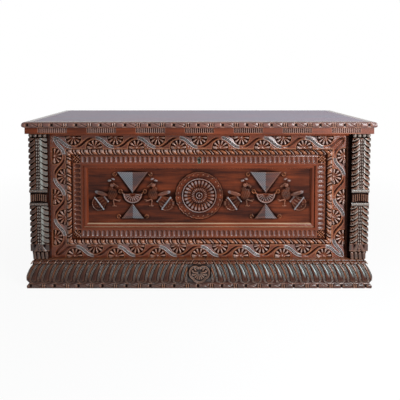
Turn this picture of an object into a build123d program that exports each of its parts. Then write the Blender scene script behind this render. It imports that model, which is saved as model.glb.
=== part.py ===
"""Carved walnut cassone (lidded chest) with a rail-and-stile front, carved corner posts,
a mitred plinth of three mouldings, a fluted cornice and a lid on butt hinges.

Frame: millimetres, +Z up, the front faces -Y, the origin is on the floor under the centre
of the chest. A ring member is drawn along X with its outward direction along +Z, and its
distance outward from the edge of the carved field is called "out".
"""

from build123d import *
from math import cos, pi, sin
import os

os.makedirs("parts", exist_ok=True)

# ---- overall sizes -------------------------------------------------------------------
LID_HALF_WIDTH = 750.0
LID_HALF_DEPTH = 275.0
CHEST_HEIGHT = 720.0
LID_THICKNESS = 23.0
LID_GAP = 0.5

LID_BOTTOM = CHEST_HEIGHT - LID_THICKNESS
RIM_TOP = LID_BOTTOM - LID_GAP
CARCASE_BACK = 255.0

# ---- carcase -------------------------------------------------------------------------
PLINTH_TOP = 113.0
PLINTH_FRONT = -232.0  # the plinth's mouldings stand out from this line and SIDE_OUTER
PLINTH_DEPTH = 42.0  # how far its members reach inwards from there
PLINTH_REACH = 32.0
CORNICE_BOTTOM = 672.0
CORNICE_HALF_WIDTH = 741.0
CORNICE_FRONT = -263.0
RIM_FRONT = -212.0  # the front's top edge behind the cornice

FRAME_FACE = -215.0  # the face of the wave-carved rails and stiles
FRAME_BACK = -179.0  # the inside of the front
FRAME_OUTER = 651.0  # where the stiles meet the corner posts
POST_OUTER = 730.0
POST_FRONT = -248.0
POST_BACK = -165.0
SIDE_INNER = 690.0
SIDE_OUTER = 712.0
BACK_THICKNESS = 22.0
BACK_INNER = CARCASE_BACK - BACK_THICKNESS
BACK_POST_FRONT = 207.0
BACK_POST_INNER = 664.0
FLOOR_THICKNESS = 18.0

# ---- carved field and the rings of moulding around it ---------------------------------
FIELD_HALF_WIDTH = 492.0
FIELD_BOTTOM = 263.0
FIELD_TOP = 503.0
FIELD_FACE = -191.0
FIELD_MIDDLE = (FIELD_BOTTOM + FIELD_TOP) / 2
FIELD_HALF_HEIGHT = (FIELD_TOP - FIELD_BOTTOM) / 2
REBATE = 8.0  # how far the panel's edge runs behind the inner moulding

INNER_OUT = 26.0  # outer edge of the inner moulding
FRIEZE_FACE = -209.0
FRIEZE_OUT = 68.0
ROPE_OUT = 91.0
BAND_IN = 96.0  # inner edge of the wave-carved band
BAND_OUT = 148.0
RAIL_OUT = FRAME_OUTER - FIELD_HALF_WIDTH
TONGUE = 6.0
TONGUE_FRONT = -194.0
TONGUE_BACK = -187.0
MIDDLE_OF_BAND = (BAND_IN + BAND_OUT) / 2

# ---- lid hinges: the barrel is half let into the back, so the lid's rear overhang
# lands on the back just past upright and stops the lid -----------------------------------
HINGE_AXIS_Y = CARCASE_BACK + 3.3
HINGE_AXIS_Z = LID_BOTTOM
BARREL_RADIUS = 5.0
PIN_RADIUS = 2.5
PIN_CLEARANCE = 0.08
HINGE_PLACES = (-480.0, 480.0)
HINGE_LENGTH = 90.0
LEAF_THICKNESS = 2.5
LEAF_FRONT = CARCASE_BACK - 24.0
BARREL_ROOM = 0.8
PLATE_BACK = HINGE_AXIS_Y - BARREL_RADIUS - BARREL_ROOM
NAIL_WIDTH = 3.6
HEAD_WIDTH = 7.0
HEAD_THICKNESS = 1.4
NAIL_PLACES = (-30.0, 0.0, 30.0)  # along each hinge
NAIL_LINE = CARCASE_BACK - 13.0
KNUCKLE_GAP = 0.2

# ---- lock ----------------------------------------------------------------------------
LOCK_HALF_WIDTH = 62.0
LOCK_BOTTOM = 506.0
LOCK_TOP = 690.0
LOCK_DEPTH = 24.0
KEYHOLE_CENTRE = 548.0
KEYHOLE_RADIUS = 6.0
KEYHOLE_SLOT = 6.4
KEYHOLE_FOOT = 533.0
KEYHOLE_SIDES = 16  # filed flats around its head
ESCUTCHEON_RIM = 2.0
EYE_Y = FRAME_BACK + LOCK_DEPTH / 2
EYE_Z = 677.0


# ======================================================================================
# drawing helpers
# ======================================================================================
def block(x0, x1, y0, y1, z0, z1):
    """A plain board between two corners."""
    centre = Pos((x0 + x1) / 2, (y0 + y1) / 2, (z0 + z1) / 2)
    return centre * Box(x1 - x0, y1 - y0, z1 - z0)


def outline(to_space, start, *steps):
    """A closed face. A step is a point, for a straight edge, or a (via, end) pair, for an arc."""
    edges = []
    here = start
    for step in steps:
        if isinstance(step[0], tuple):
            via, end = step
            edges.append(ThreePointArc(to_space(*here), to_space(*via), to_space(*end)))
        else:
            end = step
            edges.append(Line(to_space(*here), to_space(*end)))
        here = end
    if here != start:
        edges.append(Line(to_space(*here), to_space(*start)))
    return make_face(edges)


def along_x(x0, x1, start, *steps):
    """A moulding run along X. Its section is drawn in (y, z)."""
    section = outline(lambda y, z: (x0, y, z), start, *steps)
    return extrude(section, amount=x1 - x0, dir=(1, 0, 0))


def along_z(z0, z1, start, *steps):
    """A post or upright run along Z. Its section is drawn in (x, y)."""
    section = outline(lambda x, y: (x, y, z0), start, *steps)
    return extrude(section, amount=z1 - z0, dir=(0, 0, 1))


def along_y(y0, y1, start, *steps):
    """A shape cut through from front to back. Its outline is drawn in (x, z)."""
    section = outline(lambda x, z: (x, y0, z), start, *steps)
    return extrude(section, amount=y1 - y0, dir=(0, 1, 0))


def mirrored(shape):
    """The same piece on the other side of the chest."""
    return mirror(shape, about=Plane.YZ)


def save(shape, node):
    """Writes one node from the solids of a shape."""
    solids = shape.solids()
    whole = solids[0] if len(solids) == 1 else Compound(children=list(solids))
    export_step(whole, f"parts/{node}.step")


# ======================================================================================
# rings of moulding around the carved field
# ======================================================================================
def ring_member(half_length, out_low, out_high, start, *steps):
    """One mitred member: the section in (y, out) runs along X and is cut at 45 degrees."""
    reach = half_length + out_high
    run = along_x(-reach, reach, start, *steps)
    mitre = along_y(
        -LID_HALF_DEPTH,
        0,
        (-half_length - out_low, out_low),
        (half_length + out_low, out_low),
        (half_length + out_high, out_high),
        (-half_length - out_high, out_high),
    )
    return run & mitre


def on_top(member):
    return Pos(0, 0, FIELD_TOP) * member


def on_bottom(member):
    return Pos(0, 0, FIELD_BOTTOM) * Rot(0, 180, 0) * member


def on_right(member):
    return Pos(FIELD_HALF_WIDTH, 0, FIELD_MIDDLE) * Rot(0, 90, 0) * member


def on_left(member):
    return Pos(-FIELD_HALF_WIDTH, 0, FIELD_MIDDLE) * Rot(0, -90, 0) * member


def tongue_groove(half_length, out):
    """The slot in a member's inner edge for the tongue of the member inside it."""
    reach = half_length + out + TONGUE
    return block(-reach, reach, TONGUE_FRONT, TONGUE_BACK, out, out + TONGUE)


def inner_moulding(half_length):
    """The stepped ovolo that holds the carved panel in a rebate, with a tongue outside."""
    return ring_member(
        half_length,
        0,
        INNER_OUT + TONGUE,
        (FIELD_FACE, 0),
        (FIELD_FACE - 3, 0),
        (FIELD_FACE - 3, 2.5),
        ((FIELD_FACE - 11.5, 6.5), (FIELD_FACE - 14, 15)),
        (FIELD_FACE - 12, 15),
        (FIELD_FACE - 12, 18),
        (FRIEZE_FACE - 2, 19),
        (FRIEZE_FACE - 2, INNER_OUT),
        (TONGUE_FRONT, INNER_OUT),
        (TONGUE_FRONT, INNER_OUT + TONGUE),
        (TONGUE_BACK, INNER_OUT + TONGUE),
        (TONGUE_BACK, INNER_OUT),
        (FRAME_BACK, INNER_OUT),
        (FRAME_BACK, REBATE),
        (FIELD_FACE, REBATE),
    )


FLUTE_PITCH = 21.1
FLUTE_LOW = 31.0
FLUTE_HIGH = 58.0
FLUTE_RADIUS = 7.0
FLUTE_DEPTH = 4.5
GOUGE_SIDES = 6


def gouge(radius, height):
    """An upright cutter with flat sides, one of them turned to the back."""
    corner_radius = radius / cos(pi / GOUGE_SIDES)
    section = Rot(0, 0, 90 + 180 / GOUGE_SIDES) * RegularPolygon(corner_radius, GOUGE_SIDES)
    return Pos(0, 0, -height / 2) * extrude(section, amount=height)


def flute_cutters(half_length):
    """Upright hollows of round section, one every pitch, clear of the corner blocks."""
    span = 2 * (half_length + INNER_OUT)
    count = int(round(span / FLUTE_PITCH))
    pitch = span / count
    axis_y = FRIEZE_FACE - FLUTE_RADIUS + FLUTE_DEPTH
    height = FLUTE_HIGH - FLUTE_LOW
    middle = (FLUTE_LOW + FLUTE_HIGH) / 2
    cutters = []
    for number in range(count):
        x = -span / 2 + pitch * (number + 0.5)
        cutters.append(Pos(x, axis_y, middle) * gouge(FLUTE_RADIUS, height))
    return cutters


def frieze_member(half_length):
    """The fluted frieze, grooved inside for the inner moulding and tongued outside."""
    member = ring_member(
        half_length,
        INNER_OUT,
        FRIEZE_OUT + TONGUE,
        (FRIEZE_FACE, INNER_OUT),
        (FRIEZE_FACE, 63),
        (FRIEZE_FACE + 4, 63),
        (FRIEZE_FACE + 4, FRIEZE_OUT),
        (TONGUE_FRONT, FRIEZE_OUT),
        (TONGUE_FRONT, FRIEZE_OUT + TONGUE),
        (TONGUE_BACK, FRIEZE_OUT + TONGUE),
        (TONGUE_BACK, FRIEZE_OUT),
        (FRAME_BACK, FRIEZE_OUT),
        (FRAME_BACK, INNER_OUT),
    )
    return member - tongue_groove(half_length, INNER_OUT) - flute_cutters(half_length)


ROPE_SEAT = FRAME_FACE + 10.0
ROPE_CREST = FRAME_FACE - 8.0
ROPE_PITCH = 36.0
ROPE_CUT = 6.0
ROPE_FLAT = 6.0
ROPE_LEAN = 32.0
ROPE_EDGE = FRAME_FACE + 2.0


def rope_member(half_length, hand):
    """The rope moulding: a ridge planted in the rail's rebate, cut into leaning strands.

    The strands lean away from the middle of the member, outward from the field where hand
    is 1 and inward where it is -1.
    """
    middle = (FRIEZE_OUT + ROPE_OUT) / 2
    member = ring_member(
        half_length,
        FRIEZE_OUT,
        ROPE_OUT,
        (ROPE_SEAT, FRIEZE_OUT),
        (ROPE_EDGE, FRIEZE_OUT),
        (ROPE_CREST, middle - ROPE_FLAT),
        (ROPE_CREST, middle + ROPE_FLAT),
        (ROPE_EDGE, ROPE_OUT),
        (ROPE_SEAT, ROPE_OUT),
    )
    span = 2 * (half_length + FRIEZE_OUT)
    count = 2 * int(round(span / ROPE_PITCH / 2))
    pitch = span / count
    cutters = []
    for number in range(count + 1):
        x = -span / 2 + pitch * number
        side = (x > pitch / 2) - (x < -pitch / 2)
        turn = Rot(0, hand * side * ROPE_LEAN, 0) * Rot(0, 0, 45)
        cutters.append(Pos(x, ROPE_CREST, middle) * turn * Box(ROPE_CUT, ROPE_CUT, 60))
    return member - cutters


def rail_section(half_length, outer):
    """A rail or stile with its sunk band, the rebate for the rope and the frieze's groove."""
    member = ring_member(
        half_length,
        FRIEZE_OUT,
        outer,
        (ROPE_SEAT, FRIEZE_OUT),
        (ROPE_SEAT, ROPE_OUT),
        (FRAME_FACE + 4, ROPE_OUT),
        (FRAME_FACE + 4, BAND_IN - 1.5),
        (FRAME_FACE, BAND_IN - 1.5),
        (FRAME_FACE, BAND_IN),
        (BAND_GROUND, BAND_IN),
        (BAND_GROUND, BAND_OUT),
        (FRAME_FACE, BAND_OUT),
        (FRAME_FACE, outer),
        (FRAME_BACK, outer),
        (FRAME_BACK, FRIEZE_OUT),
    )
    return member - tongue_groove(half_length, FRIEZE_OUT)


BAND_GROUND = FRAME_FACE + 6.0
RIBBON_HALF_WIDTH = 6.0
RIBBON_SWING = 17.0
RIBBON_CUTS = 6
FAN_RADIUS = 31.0
FAN_PETALS = 4
FAN_NOTCH = 0.82
FAN_RELIEF = 4.5


def ribbon(half_length, periods):
    """The ribbon that winds along the band, in short straight cuts along a cosine."""
    length = 2 * (half_length + BAND_OUT)
    count = RIBBON_CUTS * periods
    upper = []
    lower = []
    for number in range(count + 1):
        turn = 2 * pi * number / RIBBON_CUTS
        x = -length / 2 + length * number / count
        middle = MIDDLE_OF_BAND + RIBBON_SWING * cos(turn)
        upper.append((x, middle + RIBBON_HALF_WIDTH))
        lower.append((x, middle - RIBBON_HALF_WIDTH))
    points = upper + lower[::-1]
    return along_y(FRAME_FACE, BAND_GROUND, points[0], *points[1:])


def fan(x, out, inward):
    """A half daisy that stands on one edge of the band. Inward is -1 from the outer edge."""
    points = [(x + FAN_RADIUS, out)]
    for number in range(2 * FAN_PETALS - 1):
        angle = pi * (number + 1) / (2 * FAN_PETALS)
        radius = FAN_RADIUS * (1.0 if number % 2 == 0 else FAN_NOTCH)
        points.append((x + radius * cos(angle), out + inward * radius * sin(angle)))
    points.append((x - FAN_RADIUS, out))
    return along_y(BAND_GROUND - FAN_RELIEF, BAND_GROUND, points[0], *points[1:])


def wave_member(half_length, outer, periods):
    """A carved rail: the ribbon swings seven times along a rail, with a fan in every bay."""
    member = rail_section(half_length, outer)
    length = 2 * (half_length + BAND_OUT)
    pitch = length / periods
    relief = [ribbon(half_length, periods)]
    for number in range(periods):
        x = -length / 2 + pitch * (number + 0.5)
        relief.append(fan(x, BAND_OUT, -1))
    for number in range(1, periods):
        x = -length / 2 + pitch * number
        relief.append(fan(x, BAND_IN, 1))
    mitre = along_y(
        FRAME_FACE,
        FRAME_BACK,
        (-half_length - FRIEZE_OUT, FRIEZE_OUT),
        (half_length + FRIEZE_OUT, FRIEZE_OUT),
        (half_length + outer, outer),
        (-half_length - outer, outer),
    )
    return (member + relief) & mitre


def keyhole(y0, y1, margin=0.0):
    """A keyhole: a round head, filed in flats, over a straight slot."""
    head_plane = Pos(0, y1, KEYHOLE_CENTRE) * Rot(90, 0, 0)
    head = extrude(head_plane * RegularPolygon(KEYHOLE_RADIUS + margin, KEYHOLE_SIDES), amount=y1 - y0)
    half_slot = KEYHOLE_SLOT / 2 + margin
    slot = block(-half_slot, half_slot, y0, y1, KEYHOLE_FOOT - margin, KEYHOLE_CENTRE)
    return head + slot


def rim_board():
    """The top rail's upper edge, which runs up behind the cornice to the rim."""
    return block(-FRAME_OUTER, FRAME_OUTER, RIM_FRONT, FRAME_BACK, FIELD_TOP + RAIL_OUT, RIM_TOP)


def make_front():
    """The carved panel and the four rings of members around it."""
    long_half = FIELD_HALF_WIDTH
    short_half = FIELD_HALF_HEIGHT
    key_cut = keyhole(FRIEZE_FACE - 5, FRAME_BACK, ESCUTCHEON_RIM)
    sides = (
        (long_half, on_top, "top", 1),
        (long_half, on_bottom, "bottom", -1),
        (short_half, on_left, "left", 1),
        (short_half, on_right, "right", -1),
    )
    for half_length, place, side, rope_hand in sides:
        save(place(inner_moulding(half_length)) - key_cut, f"panel_moulding_{side}")
        save(place(frieze_member(half_length)) - key_cut, f"fluted_frieze_{side}")
        save(place(rope_member(half_length, rope_hand)), f"rope_moulding_{side}")
        periods = 7 if half_length == long_half else 3
        rail = place(wave_member(half_length, RAIL_OUT, periods))
        rail = rail - block(-LID_HALF_WIDTH, LID_HALF_WIDTH, -LID_HALF_DEPTH, 0, 0, PLINTH_TOP)
        if side == "top":
            rail = rail + rim_board()
        kind = "rail" if half_length == long_half else "stile"
        save(rail, f"wave_{kind}_{side}")
    save(carved_panel(), "carved_panel")
    save(keyhole_escutcheon(), "keyhole_escutcheon")


ROSETTE_PETALS = 12
# outer radius, notch between petals as a share of it, and height above the field
ROSETTE_TIERS = (
    (105.0, 0.97, 5.0),
    (97.0, 1.0, 2.0),
    (79.0, 1.0, 5.5),
    (72.0, 1.0, 2.0),
    (68.0, 0.86, 5.0),
    (36.0, 0.86, 6.0),
    (16.0, 1.0, 7.5),
)
ROSETTE_CLEARANCE = 10.0  # well above the highest tier


def star(outer, inner, petals):
    """A disc with notched petals, standing on the field around its middle."""
    points = []
    for number in range(2 * petals):
        radius = outer if number % 2 == 0 else inner
        angle = pi * number / petals
        points.append((radius * cos(angle), FIELD_MIDDLE + radius * sin(angle)))
    return points


def rosette():
    """The round flower in the middle of the panel: two rims, two rings of petals, a boss."""
    flower = None
    for radius, notch, height in ROSETTE_TIERS:
        points = star(radius, radius * notch, ROSETTE_PETALS)
        tier = along_y(FIELD_FACE - height, FIELD_FACE, points[0], *points[1:])
        if flower is None:
            flower = tier
        else:
            clear = along_y(FIELD_FACE - ROSETTE_CLEARANCE, FIELD_FACE, points[0], *points[1:])
            flower = flower - clear + tier
    return flower


GROUP_CENTRE = 296.0
CUP_RADIUS = 42.0
CUP_CUTS = 8
CUP_TOP = 391.0
# half width of the base, height of the base and height of the point
UPPER_TRIANGLE = (69.0, 488.0, 395.0)
LOWER_TRIANGLE = (57.0, 276.0, 345.0)
# the bird to the right of the cup, its outlines as distances from the middle of the group
BIRD_BACK = ((104, 368), (112, 392), (101, 410), (103, 437))
BIRD_BREAST = ((90, 441), (66, 425), (84, 410), (74, 396), (80, 372))
BIRD_WING = ((112, 403), (140, 406), (166, 399), (148, 383), (118, 385))
BIRD_TAIL = ((129, 322), (168, 374), (182, 360), (180, 338), (165, 320), (147, 315))
TRIANGLE_HEIGHT = 4.0
CUP_HEIGHT = 6.0
BIRD_HEIGHT = 3.5


def triangle(x, half_width, base, point):
    """One raised triangle, its point up or down."""
    corners = (x - half_width, base), (x + half_width, base), (x, point)
    return along_y(FIELD_FACE - TRIANGLE_HEIGHT, FIELD_FACE, *corners)


def bird(x, side):
    """A bird with a spread wing and a fan-shaped tail, on one side of the cup."""
    parts = []
    for form in (BIRD_BACK + BIRD_BREAST, BIRD_WING, BIRD_TAIL):
        points = [(x + side * out, z) for out, z in form]
        parts.append(along_y(FIELD_FACE - BIRD_HEIGHT, FIELD_FACE, *points))
    return parts


def cup_and_birds(x):
    """One group: two facing triangles, a cup between them and a bird on each side."""
    bowl = []
    for number in range(CUP_CUTS + 1):
        angle = pi * number / CUP_CUTS
        bowl.append((x + CUP_RADIUS * cos(angle), CUP_TOP - CUP_RADIUS * sin(angle)))
    cup = along_y(FIELD_FACE - CUP_HEIGHT, FIELD_FACE, *bowl)
    return [triangle(x, *UPPER_TRIANGLE), triangle(x, *LOWER_TRIANGLE), cup] + bird(x, -1) + bird(x, 1)


def carved_panel():
    """The panel board, its edges held in the inner moulding's rebate, with its main relief."""
    half_width = FIELD_HALF_WIDTH + REBATE
    board = block(-half_width, half_width, FIELD_FACE, FRAME_BACK, FIELD_BOTTOM - REBATE, FIELD_TOP + REBATE)
    panel = board + rosette()
    for side in (-1, 1):
        panel = panel + cup_and_birds(side * GROUP_CENTRE)
    return panel


def keyhole_escutcheon():
    """The metal liner let into the frieze around the keyhole."""
    outer = keyhole(FRIEZE_FACE - 0.6, FRAME_BACK, ESCUTCHEON_RIM)
    return outer - keyhole(FRIEZE_FACE - 2, FRAME_BACK + 1)


# ======================================================================================
# corner posts and the plain boards
# ======================================================================================
LEAF_ZONES = ((425.0, 648.0, 9), (152.0, 352.0, 8))  # bottom, top and number of leaves
LEAF_TIP = 0.35  # where a leaf's tip stands in its height
LEAF_CURL = 3.0
FOOT_TOP = 152.0
BLOCK_BOTTOM = 368.0
BLOCK_TOP = 410.0
FOOT_SET_BACK = 11.0
POST_FLUTES = 6
POST_FLUTE_CUT = 6.0
STEM_RADIUS = 7.5
STEM_SET_BACK = 8.0
CHEEK_TAPER = 9.0


def curls(x, bottom, top, count, curl):
    """The edge of a run of leaves: one pointed curl for each tip, going up or down."""
    steps = []
    height = (top - bottom) / count
    for number in range(count):
        low = bottom + height * number
        steps.append((x + curl, low + height * LEAF_TIP))
        steps.append((x, low + height))
    return steps


def post_front_outline():
    """The carved front of a post, seen from the front, with its leaves' curled edges."""
    inner = FRAME_OUTER + LEAF_CURL
    outer = POST_OUTER - LEAF_CURL
    upper, lower = LEAF_ZONES
    steps = [(inner, lower[0])]
    steps += curls(inner, lower[0], lower[1], lower[2], -LEAF_CURL)
    steps.append((inner, upper[0]))
    steps += curls(inner, upper[0], upper[1], upper[2], -LEAF_CURL)
    steps += [(inner, CORNICE_BOTTOM), (outer, CORNICE_BOTTOM), (outer, upper[1])]
    steps += curls(outer, upper[1], upper[0], upper[2], LEAF_CURL)
    steps.append((outer, lower[1]))
    steps += curls(outer, lower[1], lower[0], lower[2], LEAF_CURL)
    steps.append((outer, PLINTH_TOP))
    return along_y(POST_FRONT, FRAME_FACE, (inner, PLINTH_TOP), *steps)


def post_side_outline():
    """The same front seen from the side: two swelling runs of leaves between collars."""
    front = POST_FRONT
    upper, lower = LEAF_ZONES
    foot = front + FOOT_SET_BACK
    return along_x(
        FRAME_OUTER,
        POST_OUTER,
        (FRAME_FACE, PLINTH_TOP),
        (foot, PLINTH_TOP),
        (foot, FOOT_TOP),
        (front + 6, 240),
        (front + 3, lower[1]),
        (front, lower[1] + 3),
        (front, BLOCK_BOTTOM - 3),
        (front + 3, BLOCK_BOTTOM),
        (front + 3, BLOCK_TOP),
        (front, BLOCK_TOP + 3),
        (front, upper[0] - 3),
        (front + 4, upper[0]),
        (front + 1, 540),
        (front + 2, upper[1]),
        (front, upper[1] + 8),
        (front, CORNICE_BOTTOM),
        (FRAME_FACE, CORNICE_BOTTOM),
    )


def post_flutes():
    """Upright grooves in the middle block and the foot block."""
    cutters = []
    width = POST_OUTER - FRAME_OUTER
    cut = POST_FLUTE_CUT
    for bottom, top, face in (
        (BLOCK_BOTTOM + 4, BLOCK_TOP - 4, POST_FRONT + 3),
        (PLINTH_TOP + 6, FOOT_TOP - 5, POST_FRONT + FOOT_SET_BACK),
    ):
        for number in range(POST_FLUTES):
            x = FRAME_OUTER + width * (number + 0.5) / POST_FLUTES
            cutters.append(Pos(x, face, (bottom + top) / 2) * Rot(0, 0, 45) * Box(cut, cut, top - bottom))
    return cutters


def post_stem():
    """The beaded stem that runs up the middle of both runs of leaves."""
    x = (FRAME_OUTER + POST_OUTER) / 2
    stems = []
    for bottom, top, _ in LEAF_ZONES:
        place = Pos(x, POST_FRONT + STEM_SET_BACK, (bottom + top) / 2)
        stems.append(place * gouge(STEM_RADIUS, top - bottom))
    return stems


def front_post():
    """A corner post: a plain square back part and a carved front, in one piece."""
    back = block(FRAME_OUTER, SIDE_OUTER, FRAME_FACE, POST_BACK, PLINTH_TOP, CORNICE_BOTTOM)
    head = block(FRAME_OUTER, SIDE_OUTER, RIM_FRONT, POST_BACK, CORNICE_BOTTOM, RIM_TOP)
    carved = post_front_outline() & post_side_outline()
    cheek = along_z(
        PLINTH_TOP,
        CORNICE_BOTTOM,
        (SIDE_OUTER, FRAME_FACE),
        (POST_OUTER - LEAF_CURL, FRAME_FACE),
        (POST_OUTER - CHEEK_TAPER, POST_BACK),
        (SIDE_OUTER, POST_BACK),
    )
    return back + head + cheek + carved + post_stem() - post_flutes()


def make_posts_and_sides():
    post = front_post()
    save(post, "corner_post_right")
    save(mirrored(post), "corner_post_left")
    rear = block(BACK_POST_INNER, SIDE_OUTER, BACK_POST_FRONT, CARCASE_BACK, PLINTH_TOP, RIM_TOP)
    save(rear, "rear_post_right")
    save(mirrored(rear), "rear_post_left")
    side = block(SIDE_INNER, SIDE_OUTER, POST_BACK, BACK_POST_FRONT, PLINTH_TOP, RIM_TOP)
    save(side, "side_board_right")
    save(mirrored(side), "side_board_left")


BACK_JOINT = 405.0
BACK_TONGUE = 7.0
BACK_SHOULDER = 8.0  # the wood left on each side of the tongue


def make_back(cuts):
    """Two back boards with a tongue and groove, the upper one let in for the hinges."""
    half = BACK_POST_INNER
    tongue_y = (BACK_INNER + BACK_SHOULDER, CARCASE_BACK - BACK_SHOULDER)
    tongue = block(-half, half, *tongue_y, BACK_JOINT, BACK_JOINT + BACK_TONGUE)
    lower = block(-half, half, BACK_INNER, CARCASE_BACK, PLINTH_TOP, BACK_JOINT) + tongue
    upper = block(-half, half, BACK_INNER, CARCASE_BACK, BACK_JOINT, RIM_TOP) - tongue - cuts
    save(lower, "back_board_lower")
    save(upper, "back_board_upper")


FLOOR_BOARDS = 3
FLOOR_GAP = 0.4
BEARER_HALF_WIDTH = 25.0
BEARER_HEIGHT = 30.0
BEARER_PLACES = (-400.0, 0.0, 400.0)


def make_floor():
    """The chest's floor of boards laid lengthwise, on three bearers inside the plinth."""
    half = SIDE_OUTER - PLINTH_DEPTH
    front = PLINTH_FRONT + PLINTH_DEPTH
    bottom = PLINTH_TOP - FLOOR_THICKNESS
    width = (BACK_INNER - front) / FLOOR_BOARDS
    boards = []
    for number in range(FLOOR_BOARDS):
        near = front + width * number
        boards.append(block(-half, half, near, near + width - FLOOR_GAP, bottom, PLINTH_TOP))
    bearers = []
    for x in BEARER_PLACES:
        low, high = x - BEARER_HALF_WIDTH, x + BEARER_HALF_WIDTH
        bearers.append(block(low, high, front, BACK_INNER, bottom - BEARER_HEIGHT, bottom))
    save(Compound(children=boards), "floor_boards")
    save(Compound(children=bearers), "floor_bearers")
    save(block(-half, half, BACK_INNER, CARCASE_BACK, 0, PLINTH_TOP), "plinth_back")


# ======================================================================================
# plinth and cornice: members with one section on the front and both sides
# ======================================================================================
def front_run(edge, section, plan):
    """A moulding across the front: the section's first number stands out from edge."""
    reach = LID_HALF_WIDTH
    start, steps = section[0], section[1:]
    run = outline(lambda out, z: (-reach, edge - out, z), start, *steps)
    return extrude(run, amount=2 * reach, dir=(1, 0, 0)) & plan


def side_run(edge, section, plan):
    """The same moulding down the right side."""
    start, steps = section[0], section[1:]
    run = outline(lambda out, z: (edge + out, -LID_HALF_DEPTH, z), start, *steps)
    return extrude(run, amount=2 * LID_HALF_DEPTH, dir=(0, 1, 0)) & plan


def plinth_plans():
    """Plans of the plinth's front and right members, mitred from the outer corner."""
    out_x = SIDE_OUTER + PLINTH_REACH
    out_y = PLINTH_FRONT - PLINTH_REACH
    in_x = SIDE_OUTER - PLINTH_DEPTH
    in_y = PLINTH_FRONT + PLINTH_DEPTH
    front = along_z(0, PLINTH_TOP, (-out_x, out_y), (out_x, out_y), (in_x, in_y), (-in_x, in_y))
    side = along_z(0, PLINTH_TOP, (out_x, out_y), (out_x, CARCASE_BACK), (in_x, CARCASE_BACK), (in_x, in_y))
    return front, side


BASE_TOP = 22.0
TORUS_TOP = 97.0
BASE_SECTION = (
    (-PLINTH_DEPTH, 0),
    (29, 0),
    ((31.5, 9), (26, 18)),
    (22, 18),
    (22, BASE_TOP),
    (-PLINTH_DEPTH, BASE_TOP),
)
TORUS_SECTION = (
    (-PLINTH_DEPTH, BASE_TOP),
    (24, BASE_TOP),
    (29.5, 31),
    (PLINTH_REACH, 43),
    (29.5, 60),
    (23, 79),
    (12, TORUS_TOP),
    (-PLINTH_DEPTH, TORUS_TOP),
)
LEAF_SECTION = (
    (-PLINTH_DEPTH, TORUS_TOP),
    (13, TORUS_TOP),
    ((19.5, 103), (19, PLINTH_TOP)),
    (-PLINTH_DEPTH, PLINTH_TOP),
)
GADROON_PITCH = 51.5
GADROON_LEAN = 27.0
GADROON_CUT = 8.0
GADROON_TILT = 14.0
GADROON_AXIS = (PLINTH_REACH - 4.5, 60.0)  # a point on the cutter's middle line: out, z
GADROONS_PER_HALF = 14
GADROONS_PER_SIDE = 10
MEDALLION_HALF_WIDTH = 47.0
SHELL_RADIUS = 36.0
SHELL_HEIGHT = 58.0
VOLUTE_RADIUS = 15.0
VOLUTE_OUT = 32.0
VOLUTE_HEIGHT = 77.0
MEDALLION_DEPTH = 20.0


def gadroon_cutter(lean):
    """A V groove that lies on the torus from its foot to its top, leaning to one side."""
    out, z = GADROON_AXIS
    turn = Rot(-GADROON_TILT, 0, 0) * Rot(0, lean, 0) * Rot(0, 0, 45)
    return Pos(0, -out, z) * turn * Box(GADROON_CUT, GADROON_CUT, PLINTH_TOP)


def front_gadroons():
    """The grooves of the front, which lean away from the medallion on both sides."""
    cutters = []
    for number in range(GADROONS_PER_HALF):
        x = MEDALLION_HALF_WIDTH + GADROON_PITCH * number
        cutters.append(Pos(x, PLINTH_FRONT, 0) * gadroon_cutter(-GADROON_LEAN))
        cutters.append(Pos(-x, PLINTH_FRONT, 0) * gadroon_cutter(GADROON_LEAN))
    return cutters


def side_gadroons():
    """The grooves of the right side, at one pitch from the front corner."""
    cutters = []
    first = PLINTH_FRONT - 20
    for number in range(GADROONS_PER_SIDE):
        y = first + GADROON_PITCH * number
        cutters.append(Pos(SIDE_OUTER, y, 0) * Rot(0, 0, 90) * gadroon_cutter(-GADROON_LEAN))
    return cutters


def medallion():
    """The round shell boss in the middle of the front torus, with two volutes at its top."""
    shell = Pos(0, 0, SHELL_HEIGHT) * Rot(90, 0, 0) * RegularPolygon(SHELL_RADIUS, 12)
    boss = extrude(shell, amount=MEDALLION_DEPTH)
    for side in (-1, 1):
        place = Pos(side * VOLUTE_OUT, 0, VOLUTE_HEIGHT) * Rot(90, 0, 0)
        volute = place * RegularPolygon(VOLUTE_RADIUS, 8)
        boss = boss + extrude(volute, amount=MEDALLION_DEPTH)
    return Pos(0, PLINTH_FRONT - PLINTH_REACH + MEDALLION_DEPTH, 0) * boss


def make_plinth():
    front_plan, side_plan = plinth_plans()
    torus = front_run(PLINTH_FRONT, TORUS_SECTION, front_plan) - front_gadroons() + medallion()
    save(torus, "gadroon_torus_front")
    side_torus = side_run(SIDE_OUTER, TORUS_SECTION, side_plan) - side_gadroons()
    save(side_torus, "gadroon_torus_right")
    save(mirrored(side_torus), "gadroon_torus_left")
    for name, section in (("base_moulding", BASE_SECTION), ("leaf_moulding", LEAF_SECTION)):
        save(front_run(PLINTH_FRONT, section, front_plan), f"{name}_front")
        side = side_run(SIDE_OUTER, section, side_plan)
        save(side, f"{name}_right")
        save(mirrored(side), f"{name}_left")


REED_PITCH = 8.8
REEDS_IN_GROUP = 14
REED_GROUP_PITCH = 208.0
REED_CUT = 4.2
REED_MARGIN = 3.5
REED_AXIS = CORNICE_FRONT - 0.8


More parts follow.
